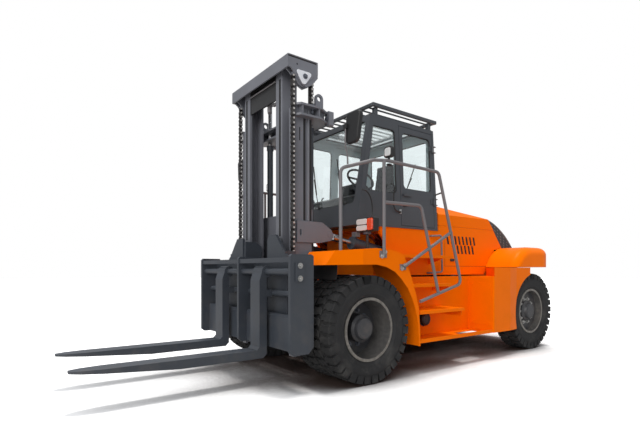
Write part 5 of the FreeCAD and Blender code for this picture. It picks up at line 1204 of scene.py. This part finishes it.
# Louvres: each slot in the side panel has a black throat, painted shade for the dark
# inside of the slot, and a pressed lip of the panel standing over its rear edge, eight above and five below.
LOUVRE_PITCH, LOUVRE_LEAN = 0.088, 0.26
painted_slot_shade, lips = [], []
SLOT_PARTS = ((painted_slot_shade, (-0.020, 0.6990, -0.060), (0.020, 0.7012, 0.060), seal_rubber),
              (lips, (-0.026, 0.6990, -0.062), (-0.014, 0.7120, 0.062), orange))
for x_first, z, count in ((-1.964, 1.607, 8), (-2.194, 1.477, 5)):
    for n in range(count):
        x = x_first - LOUVRE_PITCH * n
        for pieces, low, high, colour in SLOT_PARTS:
            piece = slab("louvre", low, high, 0.0008 if colour is seal_rubber else 0.004, 1, colour)
            for vertex in piece.data.vertices:
                vertex.co.x += LOUVRE_LEAN * vertex.co.z
            piece.data.transform(Matrix.Translation(at(x - 0.001, 0.0, z)))
            pieces.append(piece)
keep(both(joined("louvre_painted_shade", painted_slot_shade), "louvre_painted_shade"), "chassis")
keep(both(joined("louvre_lips", lips), "louvre_lips"), "chassis")
screens = slab("louvre_screen", at(-2.640, 0.646, 1.400), at(-1.960, 0.656, 1.690), 0.003, 1, seal_rubber)
keep(both(screens, "louvre_screens"), "chassis")
strut = pipe("rear_stay", [at(-1.700, 0.690, 2.205), at(-1.735, 0.715, 2.222), at(-1.790, 0.720, 2.240),
                           at(-1.822, 0.720, 2.246)], 0.011, black_plastic, 3)
keep(both(strut, "rear_stays"), "chassis")

# Driver's seat: two foam pads in a dark woven cloth on their pan, crowned in
# the middle, with sewn channels and drawn in at the edges.
MOST_SWELL = 0.012           # how far the cover may lift


def upholstered(name, low, high, grooves, flat_axis):
    """A foam pad swollen under its cover, held where it meets its pan."""
    pad = slab(name, low, high, 0.034, 3)
    remesh = pad.modifiers.new("voxels", "REMESH")
    remesh.mode = "VOXEL"
    remesh.voxel_size = 0.0075
    apply_all(pad)
    still = [vertex.co.copy() for vertex in pad.data.vertices]
    held = pad.vertex_groups.new(name="held")
    floor_level = min(co[flat_axis] for co in still)
    held.add([n for n, co in enumerate(still) if co[flat_axis] < floor_level + 0.02], 1.0, "ADD")
    cloth = pad.modifiers.new("cover", "CLOTH")
    cloth.settings.quality = 4
    cloth.settings.use_pressure = True
    cloth.settings.uniform_pressure_force = 4.0
    cloth.settings.vertex_group_mass = "held"
    cloth.settings.effector_weights.gravity = 0.0
    for step in range(1, 21):
        bpy.context.scene.frame_set(step)
    apply_all(pad)
    bpy.context.scene.frame_set(1)
    pad.vertex_groups.clear()
    for vertex, start in zip(pad.data.vertices, still):
        move = vertex.co - start
        if move.length > MOST_SWELL:
            vertex.co = start + move * (MOST_SWELL / move.length)
        if start[flat_axis] > min(low[flat_axis], high[flat_axis]) + 0.06:
            for axis, spot in grooves:
                away = (start[axis] - spot) / 0.011
                vertex.co[flat_axis] -= 0.009 * math.exp(-away * away)
    smooth = pad.modifiers.new("round", "SUBSURF")
    smooth.levels = smooth.render_levels = 1
    apply_all(pad)
    use(pad)
    bpy.ops.object.shade_smooth()
    paint(pad, seat_cloth)
    return pad


seat_low, seat_high = at(-1.458, -0.232, 2.024), at(-1.012, 0.232, 2.140)
seat_pad = upholstered("seat_pad", seat_low, seat_high,
                       [(1, -0.150), (1, 0.150), (0, seat_low.x + 0.15), (0, seat_low.x + 0.30)], 2)
back_low, back_high = Vector((-0.045, -0.222, 0.012)), Vector((0.045, 0.222, 0.592))
back_pad = upholstered("back_pad", back_low, back_high, [(1, -0.145), (1, 0.145), (2, 0.20), (2, 0.40)], 0)
back_pad.data.transform(Matrix.Rotation(math.atan2(-0.09, 0.61), 4, "Y"))
back_pad.data.transform(Matrix.Translation(at(-1.425, 0.0, 2.135)))
for pad in (seat_pad, back_pad):
    keep(pad, "chassis")
    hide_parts("seat_cushions")
